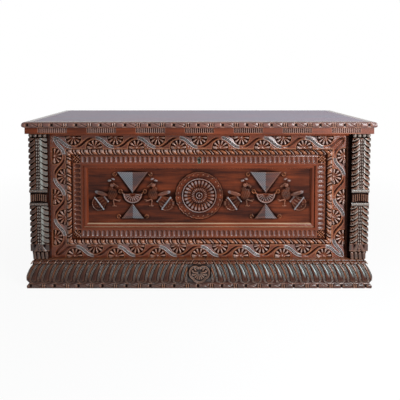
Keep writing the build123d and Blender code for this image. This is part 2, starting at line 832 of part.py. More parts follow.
def fascia_grooves():
    """Seven groups of short upright grooves along the cornice's front."""
    cutters = []
    height = RIM_TOP - CORNICE_BOTTOM - 2 * REED_MARGIN
    middle = (RIM_TOP + CORNICE_BOTTOM) / 2
    groove = Rot(0, 0, 45) * Box(REED_CUT, REED_CUT, height)
    for group in range(-3, 4):
        for number in range(REEDS_IN_GROUP):
            x = group * REED_GROUP_PITCH + (number - (REEDS_IN_GROUP - 1) / 2) * REED_PITCH
            cutters.append(Pos(x, REED_AXIS, middle) * groove)
    return cutters


def make_cornice():
    """The fluted fascia around the rim, planted on the carcase, and the cove under it."""
    half = CORNICE_HALF_WIDTH
    corner = CORNICE_FRONT + half - SIDE_OUTER
    front = along_z(
        CORNICE_BOTTOM,
        RIM_TOP,
        (-half, CORNICE_FRONT),
        (half, CORNICE_FRONT),
        (SIDE_OUTER, corner),
        (SIDE_OUTER, RIM_FRONT),
        (-SIDE_OUTER, RIM_FRONT),
        (-SIDE_OUTER, corner),
    )
    side = along_z(
        CORNICE_BOTTOM,
        RIM_TOP,
        (half, CORNICE_FRONT),
        (half, CARCASE_BACK),
        (SIDE_OUTER, CARCASE_BACK),
        (SIDE_OUTER, corner),
    )
    save(front - fascia_grooves(), "cornice_fascia_front")
    save(side, "cornice_fascia_right")
    save(mirrored(side), "cornice_fascia_left")
    rail_top = FIELD_TOP + RAIL_OUT
    cove = along_x(
        -FRAME_OUTER,
        FRAME_OUTER,
        (POST_FRONT, CORNICE_BOTTOM),
        (POST_FRONT, CORNICE_BOTTOM - 3),
        ((-225, 663), (-220, 655)),
        (FRAME_FACE, 655),
        (FRAME_FACE, rail_top),
        (RIM_FRONT, rail_top),
        (RIM_FRONT, CORNICE_BOTTOM),
    )
    save(cove, "bed_moulding")


# ======================================================================================
# lid
# ======================================================================================
EDGE_WIDTH = 34.0
LID_JOINT = 20.0
LID_TONGUE = 7.0
LID_SHOULDER = 8.0
BATTEN_THICKNESS = 20.0
BATTEN_HALF_WIDTH = 30.0
BATTEN_PLACES = (-360.0, 360.0)
BATTEN_FRONT = -140.0
BATTEN_REAR = 200.0
BATTEN_BEVEL = 12.0
BATTEN_LIP = 8.0


def lid_edge_section():
    """Half round nosing with a fillet under it; out is counted back from the tip."""
    return (
        (-EDGE_WIDTH, LID_BOTTOM),
        (-5, LID_BOTTOM),
        (-5, LID_BOTTOM + 2),
        ((0, LID_BOTTOM + 11), (-6, CHEST_HEIGHT - 2)),
        (-9, CHEST_HEIGHT - 2),
        (-9, CHEST_HEIGHT),
        (-EDGE_WIDTH, CHEST_HEIGHT),
    )


def lid_edges():
    """The carved nosing on the front and both ends of the lid, mitred at the corners."""
    half, depth = LID_HALF_WIDTH, LID_HALF_DEPTH
    inner_x, inner_y = half - EDGE_WIDTH, -depth + EDGE_WIDTH
    front_plan = along_z(
        LID_BOTTOM, CHEST_HEIGHT, (-half, -depth), (half, -depth), (inner_x, inner_y), (-inner_x, inner_y)
    )
    side_plan = along_z(
        LID_BOTTOM, CHEST_HEIGHT, (half, -depth), (half, depth), (inner_x, depth), (inner_x, inner_y)
    )
    front = front_run(-depth, lid_edge_section(), front_plan)
    side = side_run(half, lid_edge_section(), side_plan)
    return front, side


def make_lid(cuts):
    front, side = lid_edges()
    save(front, "lid_edge_front")
    save(side, "lid_edge_right")
    save(mirrored(side), "lid_edge_left")
    half = LID_HALF_WIDTH - EDGE_WIDTH
    near = -LID_HALF_DEPTH + EDGE_WIDTH
    low, high = LID_BOTTOM + LID_SHOULDER, CHEST_HEIGHT - LID_SHOULDER
    tongue = block(-half, half, LID_JOINT, LID_JOINT + LID_TONGUE, low, high)
    board = block(-half, half, near, LID_JOINT, LID_BOTTOM, CHEST_HEIGHT) + tongue - cuts
    save(board, "lid_board_front")
    board = block(-half, half, LID_JOINT, LID_HALF_DEPTH, LID_BOTTOM, CHEST_HEIGHT) - tongue - cuts
    save(board, "lid_board_rear")
    battens = []
    lip = LID_BOTTOM - BATTEN_LIP
    under = LID_BOTTOM - BATTEN_THICKNESS
    for x in BATTEN_PLACES:
        battens.append(
            along_x(
                x - BATTEN_HALF_WIDTH,
                x + BATTEN_HALF_WIDTH,
                (BATTEN_FRONT, LID_BOTTOM),
                (BATTEN_FRONT, lip),
                (BATTEN_FRONT + BATTEN_BEVEL, under),
                (BATTEN_REAR - BATTEN_BEVEL, under),
                (BATTEN_REAR, lip),
                (BATTEN_REAR, LID_BOTTOM),
            )
        )
    save(Compound(children=battens), "lid_battens")


# ======================================================================================
# hinges
# ======================================================================================
def hinge_barrel(x0, x1, radius):
    return Pos((x0 + x1) / 2, HINGE_AXIS_Y, HINGE_AXIS_Z) * Rot(0, 90, 0) * Cylinder(radius, x1 - x0)


def knuckle_spans(centre):
    """Three knuckles across a hinge, with a hair of room between neighbours."""
    length = HINGE_LENGTH / 3
    start = centre - HINGE_LENGTH / 2
    spans = []
    for number in range(3):
        near = start + length * number
        spans.append((near + KNUCKLE_GAP, near + length - KNUCKLE_GAP))
    return spans


def leaf_plate(centre, z0, z1):
    half = HINGE_LENGTH / 2 - KNUCKLE_GAP
    return block(centre - half, centre + half, LEAF_FRONT, PLATE_BACK, z0, z1)


def nail(x, y, z, up, length):
    """A forged square nail with its head flush at z, driven up or down."""
    direction = 1 if up else -1
    head = Pos(x, y, z + direction * HEAD_THICKNESS / 2) * Box(HEAD_WIDTH, HEAD_WIDTH, HEAD_THICKNESS)
    shank = Pos(x, y, z + direction * length / 2) * Box(NAIL_WIDTH, NAIL_WIDTH, length)
    return head + shank


def hinge_nails(up, length):
    z = LID_BOTTOM if up else RIM_TOP
    nails = []
    for centre in HINGE_PLACES:
        for offset in NAIL_PLACES:
            nails.append(nail(centre + offset, NAIL_LINE, z, up, length))
    return nails


def hinge_leaf(centre, of_lid):
    """A forged leaf with its share of the knuckles: one on the lid, two on the carcase."""
    low = LID_BOTTOM if of_lid else RIM_TOP - LEAF_THICKNESS
    high = low + LEAF_THICKNESS
    bore = PIN_RADIUS + (PIN_CLEARANCE if of_lid else 0)
    leaf = leaf_plate(centre, low, high)
    for number, (x0, x1) in enumerate(knuckle_spans(centre)):
        if (number % 2 == 1) == of_lid:
            strap = block(x0, x1, PLATE_BACK - 1, HINGE_AXIS_Y, low, high)
            leaf = leaf + strap + hinge_barrel(x0, x1, BARREL_RADIUS)
    return leaf - hinge_barrel(centre - HINGE_LENGTH, centre + HINGE_LENGTH, bore)


def hinge_recesses(of_lid):
    """What a board loses to the hinges: the leaves' beds and room for the barrels."""
    low = LID_BOTTOM if of_lid else RIM_TOP - LEAF_THICKNESS
    cuts = []
    for centre in HINGE_PLACES:
        half = HINGE_LENGTH / 2 + BARREL_ROOM
        cuts.append(leaf_plate(centre, low, low + LEAF_THICKNESS))
        bottom, top = low - 4, low + LEAF_THICKNESS + 4
        cuts.append(block(centre - half, centre + half, PLATE_BACK, HINGE_AXIS_Y + 6, bottom, top))
    return cuts


def make_hinges(lid_nails, carcase_nails):
    """Both hinges: the leaves of the lid, those of the carcase, and the pins."""
    lid_leaves = [hinge_leaf(centre, True) - lid_nails for centre in HINGE_PLACES]
    carcase_leaves = [hinge_leaf(centre, False) - carcase_nails for centre in HINGE_PLACES]
    half = HINGE_LENGTH / 2
    pins = [hinge_barrel(centre - half, centre + half, PIN_RADIUS) for centre in HINGE_PLACES]
    save(Compound(children=lid_leaves), "hinge_lid_leaves")
    save(Compound(children=carcase_leaves), "hinge_carcase_leaves")
    save(Compound(children=pins), "hinge_pins")
    save(Compound(children=carcase_nails), "hinge_nails")


# ======================================================================================
# lock
# ======================================================================================
BOLT_SLIDE = 0.4  # room around the bolt in its way
BOLT_NEAR = 9.0  # its shoulder, to the right of the staple's eye
BOLT_TIP = 6.0
BOLT_FAR = 50.0
BOLT_HALF_DEPTH = 4.0
BOLT_HALF_HEIGHT = 5.0
WAY_NEAR = -22.0
WELL_HALF_WIDTH = 6.0
WELL_HALF_DEPTH = 10.0
WELL_BOTTOM = EYE_Z - 12.0
KEYWAY_DEPTH = 15.0
PLATE_HALF_WIDTH = 22.0
PLATE_HALF_DEPTH = 13.0
PLATE_THICKNESS = 2.5
EYE_HALF_WIDTH = 4.0
EYE_HALF_DEPTH = 8.0
EYE_WALL = 2.8
EYE_FOOT = 3.0
STAPLE_NAILS = (-15.0, 15.0)
STAPLE_NAIL_LENGTH = 14.0
LID_NAIL_LENGTH = 16.0
CARCASE_NAIL_LENGTH = 22.0


def bolt():
    """The sliding bolt, drawn back clear of the staple's eye."""
    near_y, far_y = EYE_Y - BOLT_HALF_DEPTH, EYE_Y + BOLT_HALF_DEPTH
    low, high = EYE_Z - BOLT_HALF_HEIGHT, EYE_Z + BOLT_HALF_HEIGHT
    bar = block(BOLT_NEAR, BOLT_FAR, near_y, far_y, low, high)
    nose = along_z(low, high, (BOLT_NEAR, near_y), (BOLT_TIP, EYE_Y), (BOLT_NEAR, far_y))
    return bar + nose


def lock_case():
    """The box lock on the inside of the front, with its bolt way, staple well and keyway."""
    inside = FRAME_BACK + LOCK_DEPTH
    case = block(-LOCK_HALF_WIDTH, LOCK_HALF_WIDTH, FRAME_BACK, inside, LOCK_BOTTOM, LOCK_TOP)
    half_depth = BOLT_HALF_DEPTH + BOLT_SLIDE
    half_height = BOLT_HALF_HEIGHT + BOLT_SLIDE
    way = block(
        WAY_NEAR,
        BOLT_FAR + 1,
        EYE_Y - half_depth,
        EYE_Y + half_depth,
        EYE_Z - half_height,
        EYE_Z + half_height,
    )
    well = block(
        -WELL_HALF_WIDTH,
        WELL_HALF_WIDTH,
        EYE_Y - WELL_HALF_DEPTH,
        EYE_Y + WELL_HALF_DEPTH,
        WELL_BOTTOM,
        LOCK_TOP,
    )
    return case - way - well - keyhole(FRAME_BACK, FRAME_BACK + KEYWAY_DEPTH)


def staple_plate():
    """The flat plate let into the lid's underside, over the lock."""
    near_y, far_y = EYE_Y - PLATE_HALF_DEPTH, EYE_Y + PLATE_HALF_DEPTH
    top = LID_BOTTOM + PLATE_THICKNESS
    return block(-PLATE_HALF_WIDTH, PLATE_HALF_WIDTH, near_y, far_y, LID_BOTTOM, top)


def staple():
    """The eye that hangs from its plate under the lid and takes the bolt."""
    half, depth = EYE_HALF_WIDTH, EYE_HALF_DEPTH
    opening = depth - EYE_WALL
    foot = EYE_Z - BOLT_HALF_HEIGHT - 2
    eye = block(-half, half, EYE_Y - depth, EYE_Y + depth, foot - EYE_FOOT, LID_BOTTOM)
    window = block(-half, half, EYE_Y - opening, EYE_Y + opening, foot, EYE_Z + BOLT_HALF_HEIGHT + 3)
    return staple_plate() + eye - window


def staple_nails():
    return [nail(x, EYE_Y, LID_BOTTOM, True, STAPLE_NAIL_LENGTH) for x in STAPLE_NAILS]


if __name__ == "__main__":
    lid_nails = hinge_nails(True, LID_NAIL_LENGTH)
    catch_nails = staple_nails()
    carcase_nails = hinge_nails(False, CARCASE_NAIL_LENGTH)
    make_front()
    make_posts_and_sides()
    make_back(hinge_recesses(False) + carcase_nails)
    make_floor()
    make_plinth()
    make_cornice()
    make_lid(hinge_recesses(True) + lid_nails + catch_nails + [staple_plate()])
    make_hinges(lid_nails, carcase_nails)
    save(Compound(children=lid_nails + catch_nails), "lid_nails")
    save(lock_case(), "lock_case")
    save(bolt(), "lock_bolt")
    save(staple() - catch_nails, "lid_staple")
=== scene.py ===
from math import cos, pi, radians, sin

import bpy
import numpy as np
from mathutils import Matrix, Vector


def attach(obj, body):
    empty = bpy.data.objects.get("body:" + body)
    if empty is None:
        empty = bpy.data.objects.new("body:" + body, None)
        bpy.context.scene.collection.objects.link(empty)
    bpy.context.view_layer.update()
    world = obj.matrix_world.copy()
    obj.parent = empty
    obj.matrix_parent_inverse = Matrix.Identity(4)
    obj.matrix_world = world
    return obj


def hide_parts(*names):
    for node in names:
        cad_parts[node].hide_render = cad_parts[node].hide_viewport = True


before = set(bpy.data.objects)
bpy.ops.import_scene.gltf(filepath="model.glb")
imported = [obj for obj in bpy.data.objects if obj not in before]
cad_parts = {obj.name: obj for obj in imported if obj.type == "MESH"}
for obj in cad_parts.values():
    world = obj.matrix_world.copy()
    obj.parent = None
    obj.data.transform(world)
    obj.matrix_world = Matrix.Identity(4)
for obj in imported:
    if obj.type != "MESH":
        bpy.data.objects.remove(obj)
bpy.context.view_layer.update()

mm = 0.001  # shapes are worked out in millimetres and stored in metres
print("frame loaded:", len(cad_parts), "nodes")


# shape maths on whole arrays
def ramp(x, low, high):  # 0 below low, 1 above high, 3t^2 - 2t^3 between them
    t = np.clip((x - low) / (high - low), 0, 1)
    return t * t * (3 - 2 * t)


def dome(x, halfWidth, power=0.5, inner=2):  # (1 - (x / halfWidth)^inner)^power, 0 outside it
    return np.clip(1 - (x / halfWidth) ** inner, 0, 1) ** power


def ridge(x, at, halfWidth, height, power=0.5):  # a dome moved to a place and given a height
    return height * dome(x - at, halfWidth, power)


def repeat(x, pitch):  # distance to the middle of the nearest repeat, from -pitch/2 to pitch/2
    return (x + pitch / 2) % pitch - pitch / 2


def ripple(place, pitch, cut):  # fine grooves: 1 on their ridges, 1 - 2 * cut at the bottom
    return 1 - cut + cut * np.cos(2 * pi * place / pitch)


def polar(x, z):  # distance from the middle, and the angle about it
    return np.hypot(x, z), np.arctan2(z, x)


def blurred(height, reach):  # three running means along each axis, over 2 * reach + 1 points
    width = 2 * reach + 1
    for axis in (0, 1):
        pads = [(reach + 1, reach) if a == axis else (0, 0) for a in (0, 1)]
        count = height.shape[axis]
        for _ in range(3):
            total = np.cumsum(np.pad(height, pads, mode="edge"), axis=axis)
            late = np.take(total, np.arange(width, width + count), axis=axis)
            early = np.take(total, np.arange(count), axis=axis)
            height = (late - early) / width
    return height


def handCut(shape, seed, strength):  # smooth random unevenness, at most about strength each way
    reach, peak = 3, 2.5  # points that each blur takes in, deviations that count as the most
    field = blurred(np.random.default_rng(seed).normal(size=shape), reach)
    return field / field.std() * strength / peak


# how deep a hollow takes painted shade, and how proud an edge looks worn, against a blur over these reaches
tintRange = {"hollow": (0.1, 1.6), "wear": (0.1, 1.1), "hollowReach": 5, "wearReach": 2}


def carvedTints(depth, reach=tintRange["hollowReach"]):
    # depth grows away from the carver, and is compared with its own blur both ways
    sunk = depth - blurred(depth, reach)
    proud = blurred(depth, tintRange["wearReach"]) - depth
    return {"hollow": ramp(sunk, *tintRange["hollow"]), "wear": ramp(proud, *tintRange["wear"])}


# materials
def paint(red, green, blue):  # a display colour, 0 to 255, as the linear colour that shaders take
    values = [c / 255 for c in (red, green, blue)]
    return tuple(c / 12.92 if c < 0.04045 else ((c + 0.055) / 1.055) ** 2.4 for c in values) + (1.0,)


def plug(socket, value):
    if isinstance(value, Wire):
        value.tree.links.new(value.socket, socket)
    else:
        socket.default_value = value


class Wire:
    # one output of a node, so that shader maths reads like ordinary arithmetic
    def __init__(self, tree, socket=None):
        self.tree, self.socket = tree, socket

    def node(self, kind, output=0, settings=None, **inputs):
        # any other node; an input goes by its identifier, or by its name with _ for each space
        made = self.tree.nodes.new(kind)
        for key, value in (settings or {}).items():
            setattr(made, key, value)
        for key, value in inputs.items():
            found = [s for s in made.inputs if s.identifier == key or s.name == key.replace("_", " ")]
            plug(found[0], value)
        return Wire(self.tree, made.outputs[output])

    def maths(self, operation, *values):
        made = self.node("ShaderNodeMath", settings={"operation": operation})
        for socket, value in zip(made.socket.node.inputs, values):
            plug(socket, value)
        return made

    def __add__(self, other):
        return self.maths("ADD", self, other)

    def __sub__(self, other):
        return self.maths("SUBTRACT", self, other)

    def __rsub__(self, other):
        return self.maths("SUBTRACT", other, self)

    def __mul__(self, other):
        return self.maths("MULTIPLY", self, other)

    __radd__, __rmul__ = __add__, __mul__  # the order of terms and factors makes no difference

    def clamped(self):
        return self.maths("MINIMUM", self.maths("MAXIMUM", self, 0.0), 1.0)


def newMaterial(name):
    material = bpy.data.materials.new(name)
    material.use_nodes = True
    tree = material.node_tree
    return material, tree.nodes["Principled BSDF"], Wire(tree).node("ShaderNodeTexCoord", "Object")


def plugAll(shader, values):
    for key, value in values.items():
        plug(shader.inputs[key], value)


def cover(material, share, under, over):  # the surface is over where the share is 1
    blend = share.node("ShaderNodeMixShader", "Shader", Fac=share, Shader=under, Shader_001=over)
    plug(material.node_tree.nodes["Material Output"].inputs["Surface"], blend)


def mixed(share, first, second):  # a colour between two colours
    colours = {"Factor_Float": share, "A_Color": first, "B_Color": second}
    return share.node("ShaderNodeMix", "Result", {"data_type": "RGBA"}, **colours)


def noise(place, stretch, detail, roughness=0.55, scale=1.0):  # stretch is in cells per metre
    vector = place.node("ShaderNodeMapping", Vector=place, Scale=stretch)
    values = {"Scale": scale, "Detail": detail, "Roughness": roughness}
    return place.node("ShaderNodeTexNoise", "Fac", Vector=vector, **values)


walnut = {
    # painted shade, the colour of deep cuts and shadowed places
    "paintedCutShade": paint(12, 5, 4),
    "dark": paint(48, 19, 11),
    "middle": paint(114, 51, 26),
    "worn": paint(160, 104, 70),  # rubbed edges of the carving
    "edge": paint(206, 184, 152),  # painted highlights along the panel's lower moulding
    # dust and painted highlights, by where they go
    "bloomAndHighlight": paint(142, 154, 162),  # in close hatching
    "shine": paint(146, 164, 164),  # on the gadroons
    "oldBloom": paint(96, 102, 98),  # greener, on the plinth
    "glint": paint(176, 184, 178),  # on the posts
    "bright": paint(166, 184, 190),  # on the ladders of the wave
    "haze": paint(214, 222, 255),  # old wax on the lid, seen along it
    "hazeSpread": 0.35,
    "gloss": 0.19,
    "specular": 0.35,
    "grainDepth": 0.12,
    "level": 0.55,  # the tone between dark and middle
    "clouds": 0.9,  # how far large clouds move it
    "cloudStretch": (5.0, 5.0, 5.0),
    "poreStretch": 9,  # times the grain's
    "paintedShadeShare": 0.92,
    "grainSteps": 0.0006,  # metres
    "grainShine": 0.12,  # how much streaks, pores and hollows change the roughness
    "poreShine": 0.06,
    "hollowShine": 0.3,
}


def walnutMaterial(name, grain=(3.0, 40.0, 40.0), carved=True, darker=0.0, gloss=0.0,
                   specular=walnut["specular"], streaks=1.5, bloomAndHighlight="bloomAndHighlight", haze=0.0, highlightLines=()):
    # clouds and streaks of grain move the tone from dark to middle; on carved pieces the attributes bring in
    # rubbed edges, dust and painted highlights in paler colours, and painted shade in deep cuts and shadows
    material, shader, place = newMaterial(name)
    v = walnut
    cloud = noise(place, v["cloudStretch"], 4.0)
    streak = noise(place, grain, 6.0, 0.65, 1.6)
    pores = noise(place, tuple(g * v["poreStretch"] for g in grain), 2.0)
    tone = (cloud - 0.5) * v["clouds"] + (streak - 0.5) * streaks + (v["level"] - darker)
    colour = mixed(tone.clamped(), v["dark"], v["middle"])
    rough = v["gloss"] + gloss
    if carved:
        kind = "ShaderNodeAttribute"
        hollow = place.node(kind, "Fac", {"attribute_name": "hollow"})
        wear = place.node(kind, "Fac", {"attribute_name": "wear"})
        dust = place.node(kind, "Fac", {"attribute_name": "dust"})
        colour = mixed((wear * 0.5 * (0.4 + streak)).clamped(), colour, v["worn"])
        colour = mixed((dust * (0.45 + cloud * 0.6)).clamped(), colour, v[bloomAndHighlight])
        roughness = rough + v["hollowShine"] * hollow + (streak - 0.5) * v["grainShine"]
        # painted shade: deep cuts and shadowed places get a dark matt shader in place of the wood
        matt = place.node("ShaderNodeBsdfDiffuse", "BSDF", Color=v["paintedCutShade"])
        surface = Wire(place.tree, shader.outputs[0])
        cover(material, (hollow * v["paintedShadeShare"]).clamped(), surface, matt)
    else:
        roughness = rough + (streak - 0.5) * v["grainShine"] + (pores - 0.5) * v["poreShine"]
    for level, halfWidth in highlightLines:  # painted highlights along the moulding, at their heights in metres
        height = place.node("ShaderNodeSeparateXYZ", "Z", Vector=place)
        off = (height - level) * (1 / halfWidth)
        colour = mixed(((1 - off * off) * (0.6 + (cloud - 0.5))).clamped(), colour, v["edge"])
    relief = {"Strength": v["grainDepth"], "Distance": v["grainSteps"], "Height": streak + pores * 0.5}
    plugAll(shader, {
        "Base Color": colour, "Roughness": roughness.clamped(), "Specular IOR Level": specular,
        "Normal": place.node("ShaderNodeBump", "Normal", **relief),
        "Sheen Weight": haze, "Sheen Roughness": v["hazeSpread"], "Sheen Tint": v["haze"],
    })
    return material


upright = (40.0, 40.0, 3.0)
carvedWood = walnutMaterial("carvedWalnut", bloomAndHighlight="bright")
carvedUpright = walnutMaterial("carvedWalnutUpright", upright, bloomAndHighlight="bright")
postWood = walnutMaterial("postWalnut", upright, darker=0.55, specular=0.3, bloomAndHighlight="glint")
plinthWood = walnutMaterial("plinthWalnut", darker=0.35, specular=0.4, bloomAndHighlight="oldBloom")
gadroonWood = walnutMaterial("gadroonWalnut", darker=0.6, specular=0.22, bloomAndHighlight="shine")
corniceWood = walnutMaterial("corniceWalnut", gloss=0.25, specular=0.2)
panelWood = walnutMaterial("panelWalnut", (2.2, 26.0, 26.0), darker=0.22, specular=0.13, streaks=2.6)
print("materials made")


# meshes
sharpAngle = radians(55)


def putMesh(name, points, loops, starts, tints, material):
    mesh = bpy.data.meshes.new(name)
    mesh.vertices.add(len(points))
    mesh.vertices.foreach_set("co", (points * mm).astype(np.float32).ravel())
    mesh.loops.add(len(loops))
    mesh.loops.foreach_set("vertex_index", loops.astype(np.int32))
    mesh.polygons.add(len(starts))
    mesh.polygons.foreach_set("loop_start", starts.astype(np.int32))
    mesh.update(calc_edges=True)
    mesh.validate()
    mesh.shade_smooth()
    mesh.set_sharp_from_angle(angle=sharpAngle)
    for key, values in tints.items():
        layer = mesh.attributes.new(key, "FLOAT", "POINT")
        layer.data.foreach_set("value", values.astype(np.float32).ravel())
    mesh.materials.append(material)
    piece = bpy.data.objects.new(name, mesh)
    bpy.context.scene.collection.objects.link(piece)
    return piece


def nodeOf(name):  # gadroonTorus.front stands for the node gadroon_torus_front, and so on
    return "".join("_" + c.lower() if c.isupper() else c for c in name).replace(".", "_")


def barPiece(name, rings, tints, material):
    # rings holds stations x points around x 3: quads join each ring to the next, and a flat
    # face closes each end; the sum of the faces' signed volumes says which way they turn
    stations, around = rings.shape[:2]
    index = np.arange(stations * around).reshape(stations, around)
    ahead = np.roll(index, -1, axis=1)
    quads = np.stack([index[:-1], ahead[:-1], ahead[1:], index[1:]], axis=-1).reshape(-1, 4)
    points = rings.reshape(-1, 3)
    corner = points[quads]
    half = np.cross(corner[:, 1] - corner[:, 0], corner[:, 2] - corner[:, 0])
    rest = np.cross(corner[:, 2] - corner[:, 0], corner[:, 3] - corner[:, 0])
    middle = points.mean(axis=0)
    volume = ((corner[:, 0] - middle) * (half + rest)).sum()
    first, last = index[0][::-1], index[-1]
    if volume < 0:
        quads, first, last = quads[:, ::-1], first[::-1], last[::-1]
    loops = np.concatenate([quads.ravel(), first, last])
    starts = np.concatenate([np.arange(len(quads)) * 4, len(quads) * 4 + np.array([0, around])])
    piece = putMesh(name, points, loops, starts, tints, material)
    onLid = name.startswith("lid")
    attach(piece, "lid" if onLid else "carcase")
    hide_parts(nodeOf(name))


def padded(tints, extra):  # the hidden points that close a ring carry no tint
    return {key: np.pad(values, ((0, 0), (0, extra))) for key, values in tints.items()}


def facePiece(name, x, depth, z, tints, material):
    # lines of points across a carved face, each closed by two points on the back plane
    rings = np.stack([x, depth, z], axis=-1)
    backs = rings[:, [-1, 0]]
    backs[:, :, 1] = front["backFace"]
    barPiece(name, np.concatenate([rings, backs], axis=1), padded(tints, 2), material)


# in the dictionaries below, a form with three or four numbers goes to ridge: its place, half
# width, height or depth, and a power where it is squarer than round

# the front: four rings of mitred members around the carved field
front = {
    "fieldHalfWidth": 492.0, "fieldBottom": 263.0, "fieldTop": 503.0, "fieldFace": -191.0,
    "frameFace": -215.0, "backFace": -179.0, "railOut": 159.0, "floorOut": 150.0,
    "innerOut": 26.0, "friezeOut": 68.0, "ropeOut": 91.0, "rimOut": 193.5, "rimFace": -212.0,
    "postShade": (638.0, 642.0), "rough": 0.22,
}
fieldMiddle = (front["fieldBottom"] + front["fieldTop"]) / 2
fieldHalfHeight = (front["fieldTop"] - front["fieldBottom"]) / 2
sides = ("top", "bottom", "left", "right")
longSides = sides[:2]
# +1 or -1: which way the ribbon runs on each side when it falls from left to right
fallSign = {"top": -1, "bottom": 1, "left": 1, "right": -1}


def halfLength(side):
    return front["fieldHalfWidth"] if side in longSides else fieldHalfHeight


def bandPlaces(side, outs, stations):
    # along runs between the two mitres, out is the distance outward from the carved field
    t = np.linspace(0, 1, stations)[:, None]
    if side in longSides:
        high = front["fieldHalfWidth"] + np.minimum(outs, front["railOut"])
        low = -high
    else:
        high = fieldHalfHeight + outs
        low = -fieldHalfHeight - np.minimum(outs, front["floorOut"])
    along = low + (high - low) * t
    out = np.broadcast_to(outs, along.shape)
    x, z = {
        "top": (along, front["fieldTop"] + out), "bottom": (along, front["fieldBottom"] - out),
        "left": (-front["fieldHalfWidth"] - out, fieldMiddle + along),
        "right": (front["fieldHalfWidth"] + out, fieldMiddle + along),
    }[side]
    return along, out, x, z


def ringMember(name, side, outs, v, faceOf):
    # faceOf gives the depth, the dust and painted highlights, and how much of the tints the place takes
    along, out, x, z = bandPlaces(side, outs, v["stations"][side not in longSides])
    depth, dust, share = faceOf(side, along, out, x, z)
    depth = depth + handCut(depth.shape, v["seed"] + sides.index(side), front["rough"])
    tints = carvedTints(depth)
    # painted shadow that the right-hand post throws on the strip beside it
    paintedPostShadow = 0.9 * ramp(x, *front["postShade"])
    tints["hollow"] = np.maximum(tints["hollow"] * share, paintedPostShadow)
    tints["wear"] = tints["wear"] * np.maximum(share, 0.3)
    tints["dust"] = dust * (1 - tints["hollow"])
    facePiece(f"{name}.{side}", x, depth, z, tints, carvedWood if side in longSides else carvedUpright)


wave = {
    # points across and, on long and short sides, points along and bays
    "points": 58, "stations": (1280, 540), "seed": 10, "bays": (7, 3),
    "bandIn": 91.0, "bandOut": 151.0, "depth": 6.0, "flat": 5.3, "dip": -4.0,
    "swing": 22.0, "crestCut": 0.06, "reach": 35.0, "centre": 7.0, "around": 0.8,
    "petalTurn": radians(34.3), "petalNeck": 1.6, "petalGrow": 0.115, "petalFrom": 2.4,
    "channelHalf": 5.6, "channelDepth": 3.6, "facetSlope": 0.3, "crinkleAt": 11.5, "crinklePitch": 9.0,
    "rails": ((5.4, 1.7, 1.0), (0.0, 1.2, 0.85), (-5.6, 1.5, 0.9)),  # the ladder's three edges
    "ladderHalf": 6.6, "ladderDepth": 4.6, "rungPitch": 5.4, "rung": (0.0, 1.2, 0.55),
    "border": (154.0, 1.4, 1.4), "boss": (0.0, 6.0, 4.8), "facetReach": 11, "setting": 0.2,
}


def daisy(across, inward):
    # six petals like spoons around a small boss, as wide as the gaps between them: each is a
    # wedge whose end is a half circle at the full reach
    v = wave
    radius, angle = polar(across, inward)
    sideways = repeat(angle - pi / 2 + v["petalTurn"] / 2, v["petalTurn"]) * radius
    half = v["petalNeck"] + v["petalGrow"] * radius
    beyond = np.maximum(radius - v["reach"] + half, 0)
    rise = v["petalFrom"] + (v["depth"] - v["petalFrom"]) * ramp(radius, 6.0, 0.8 * v["reach"])
    petal = rise * dome(np.hypot(sideways, beyond), half) * (inward > -5) * (radius > 4)
    return np.maximum(petal, ridge(radius, *v["boss"]))


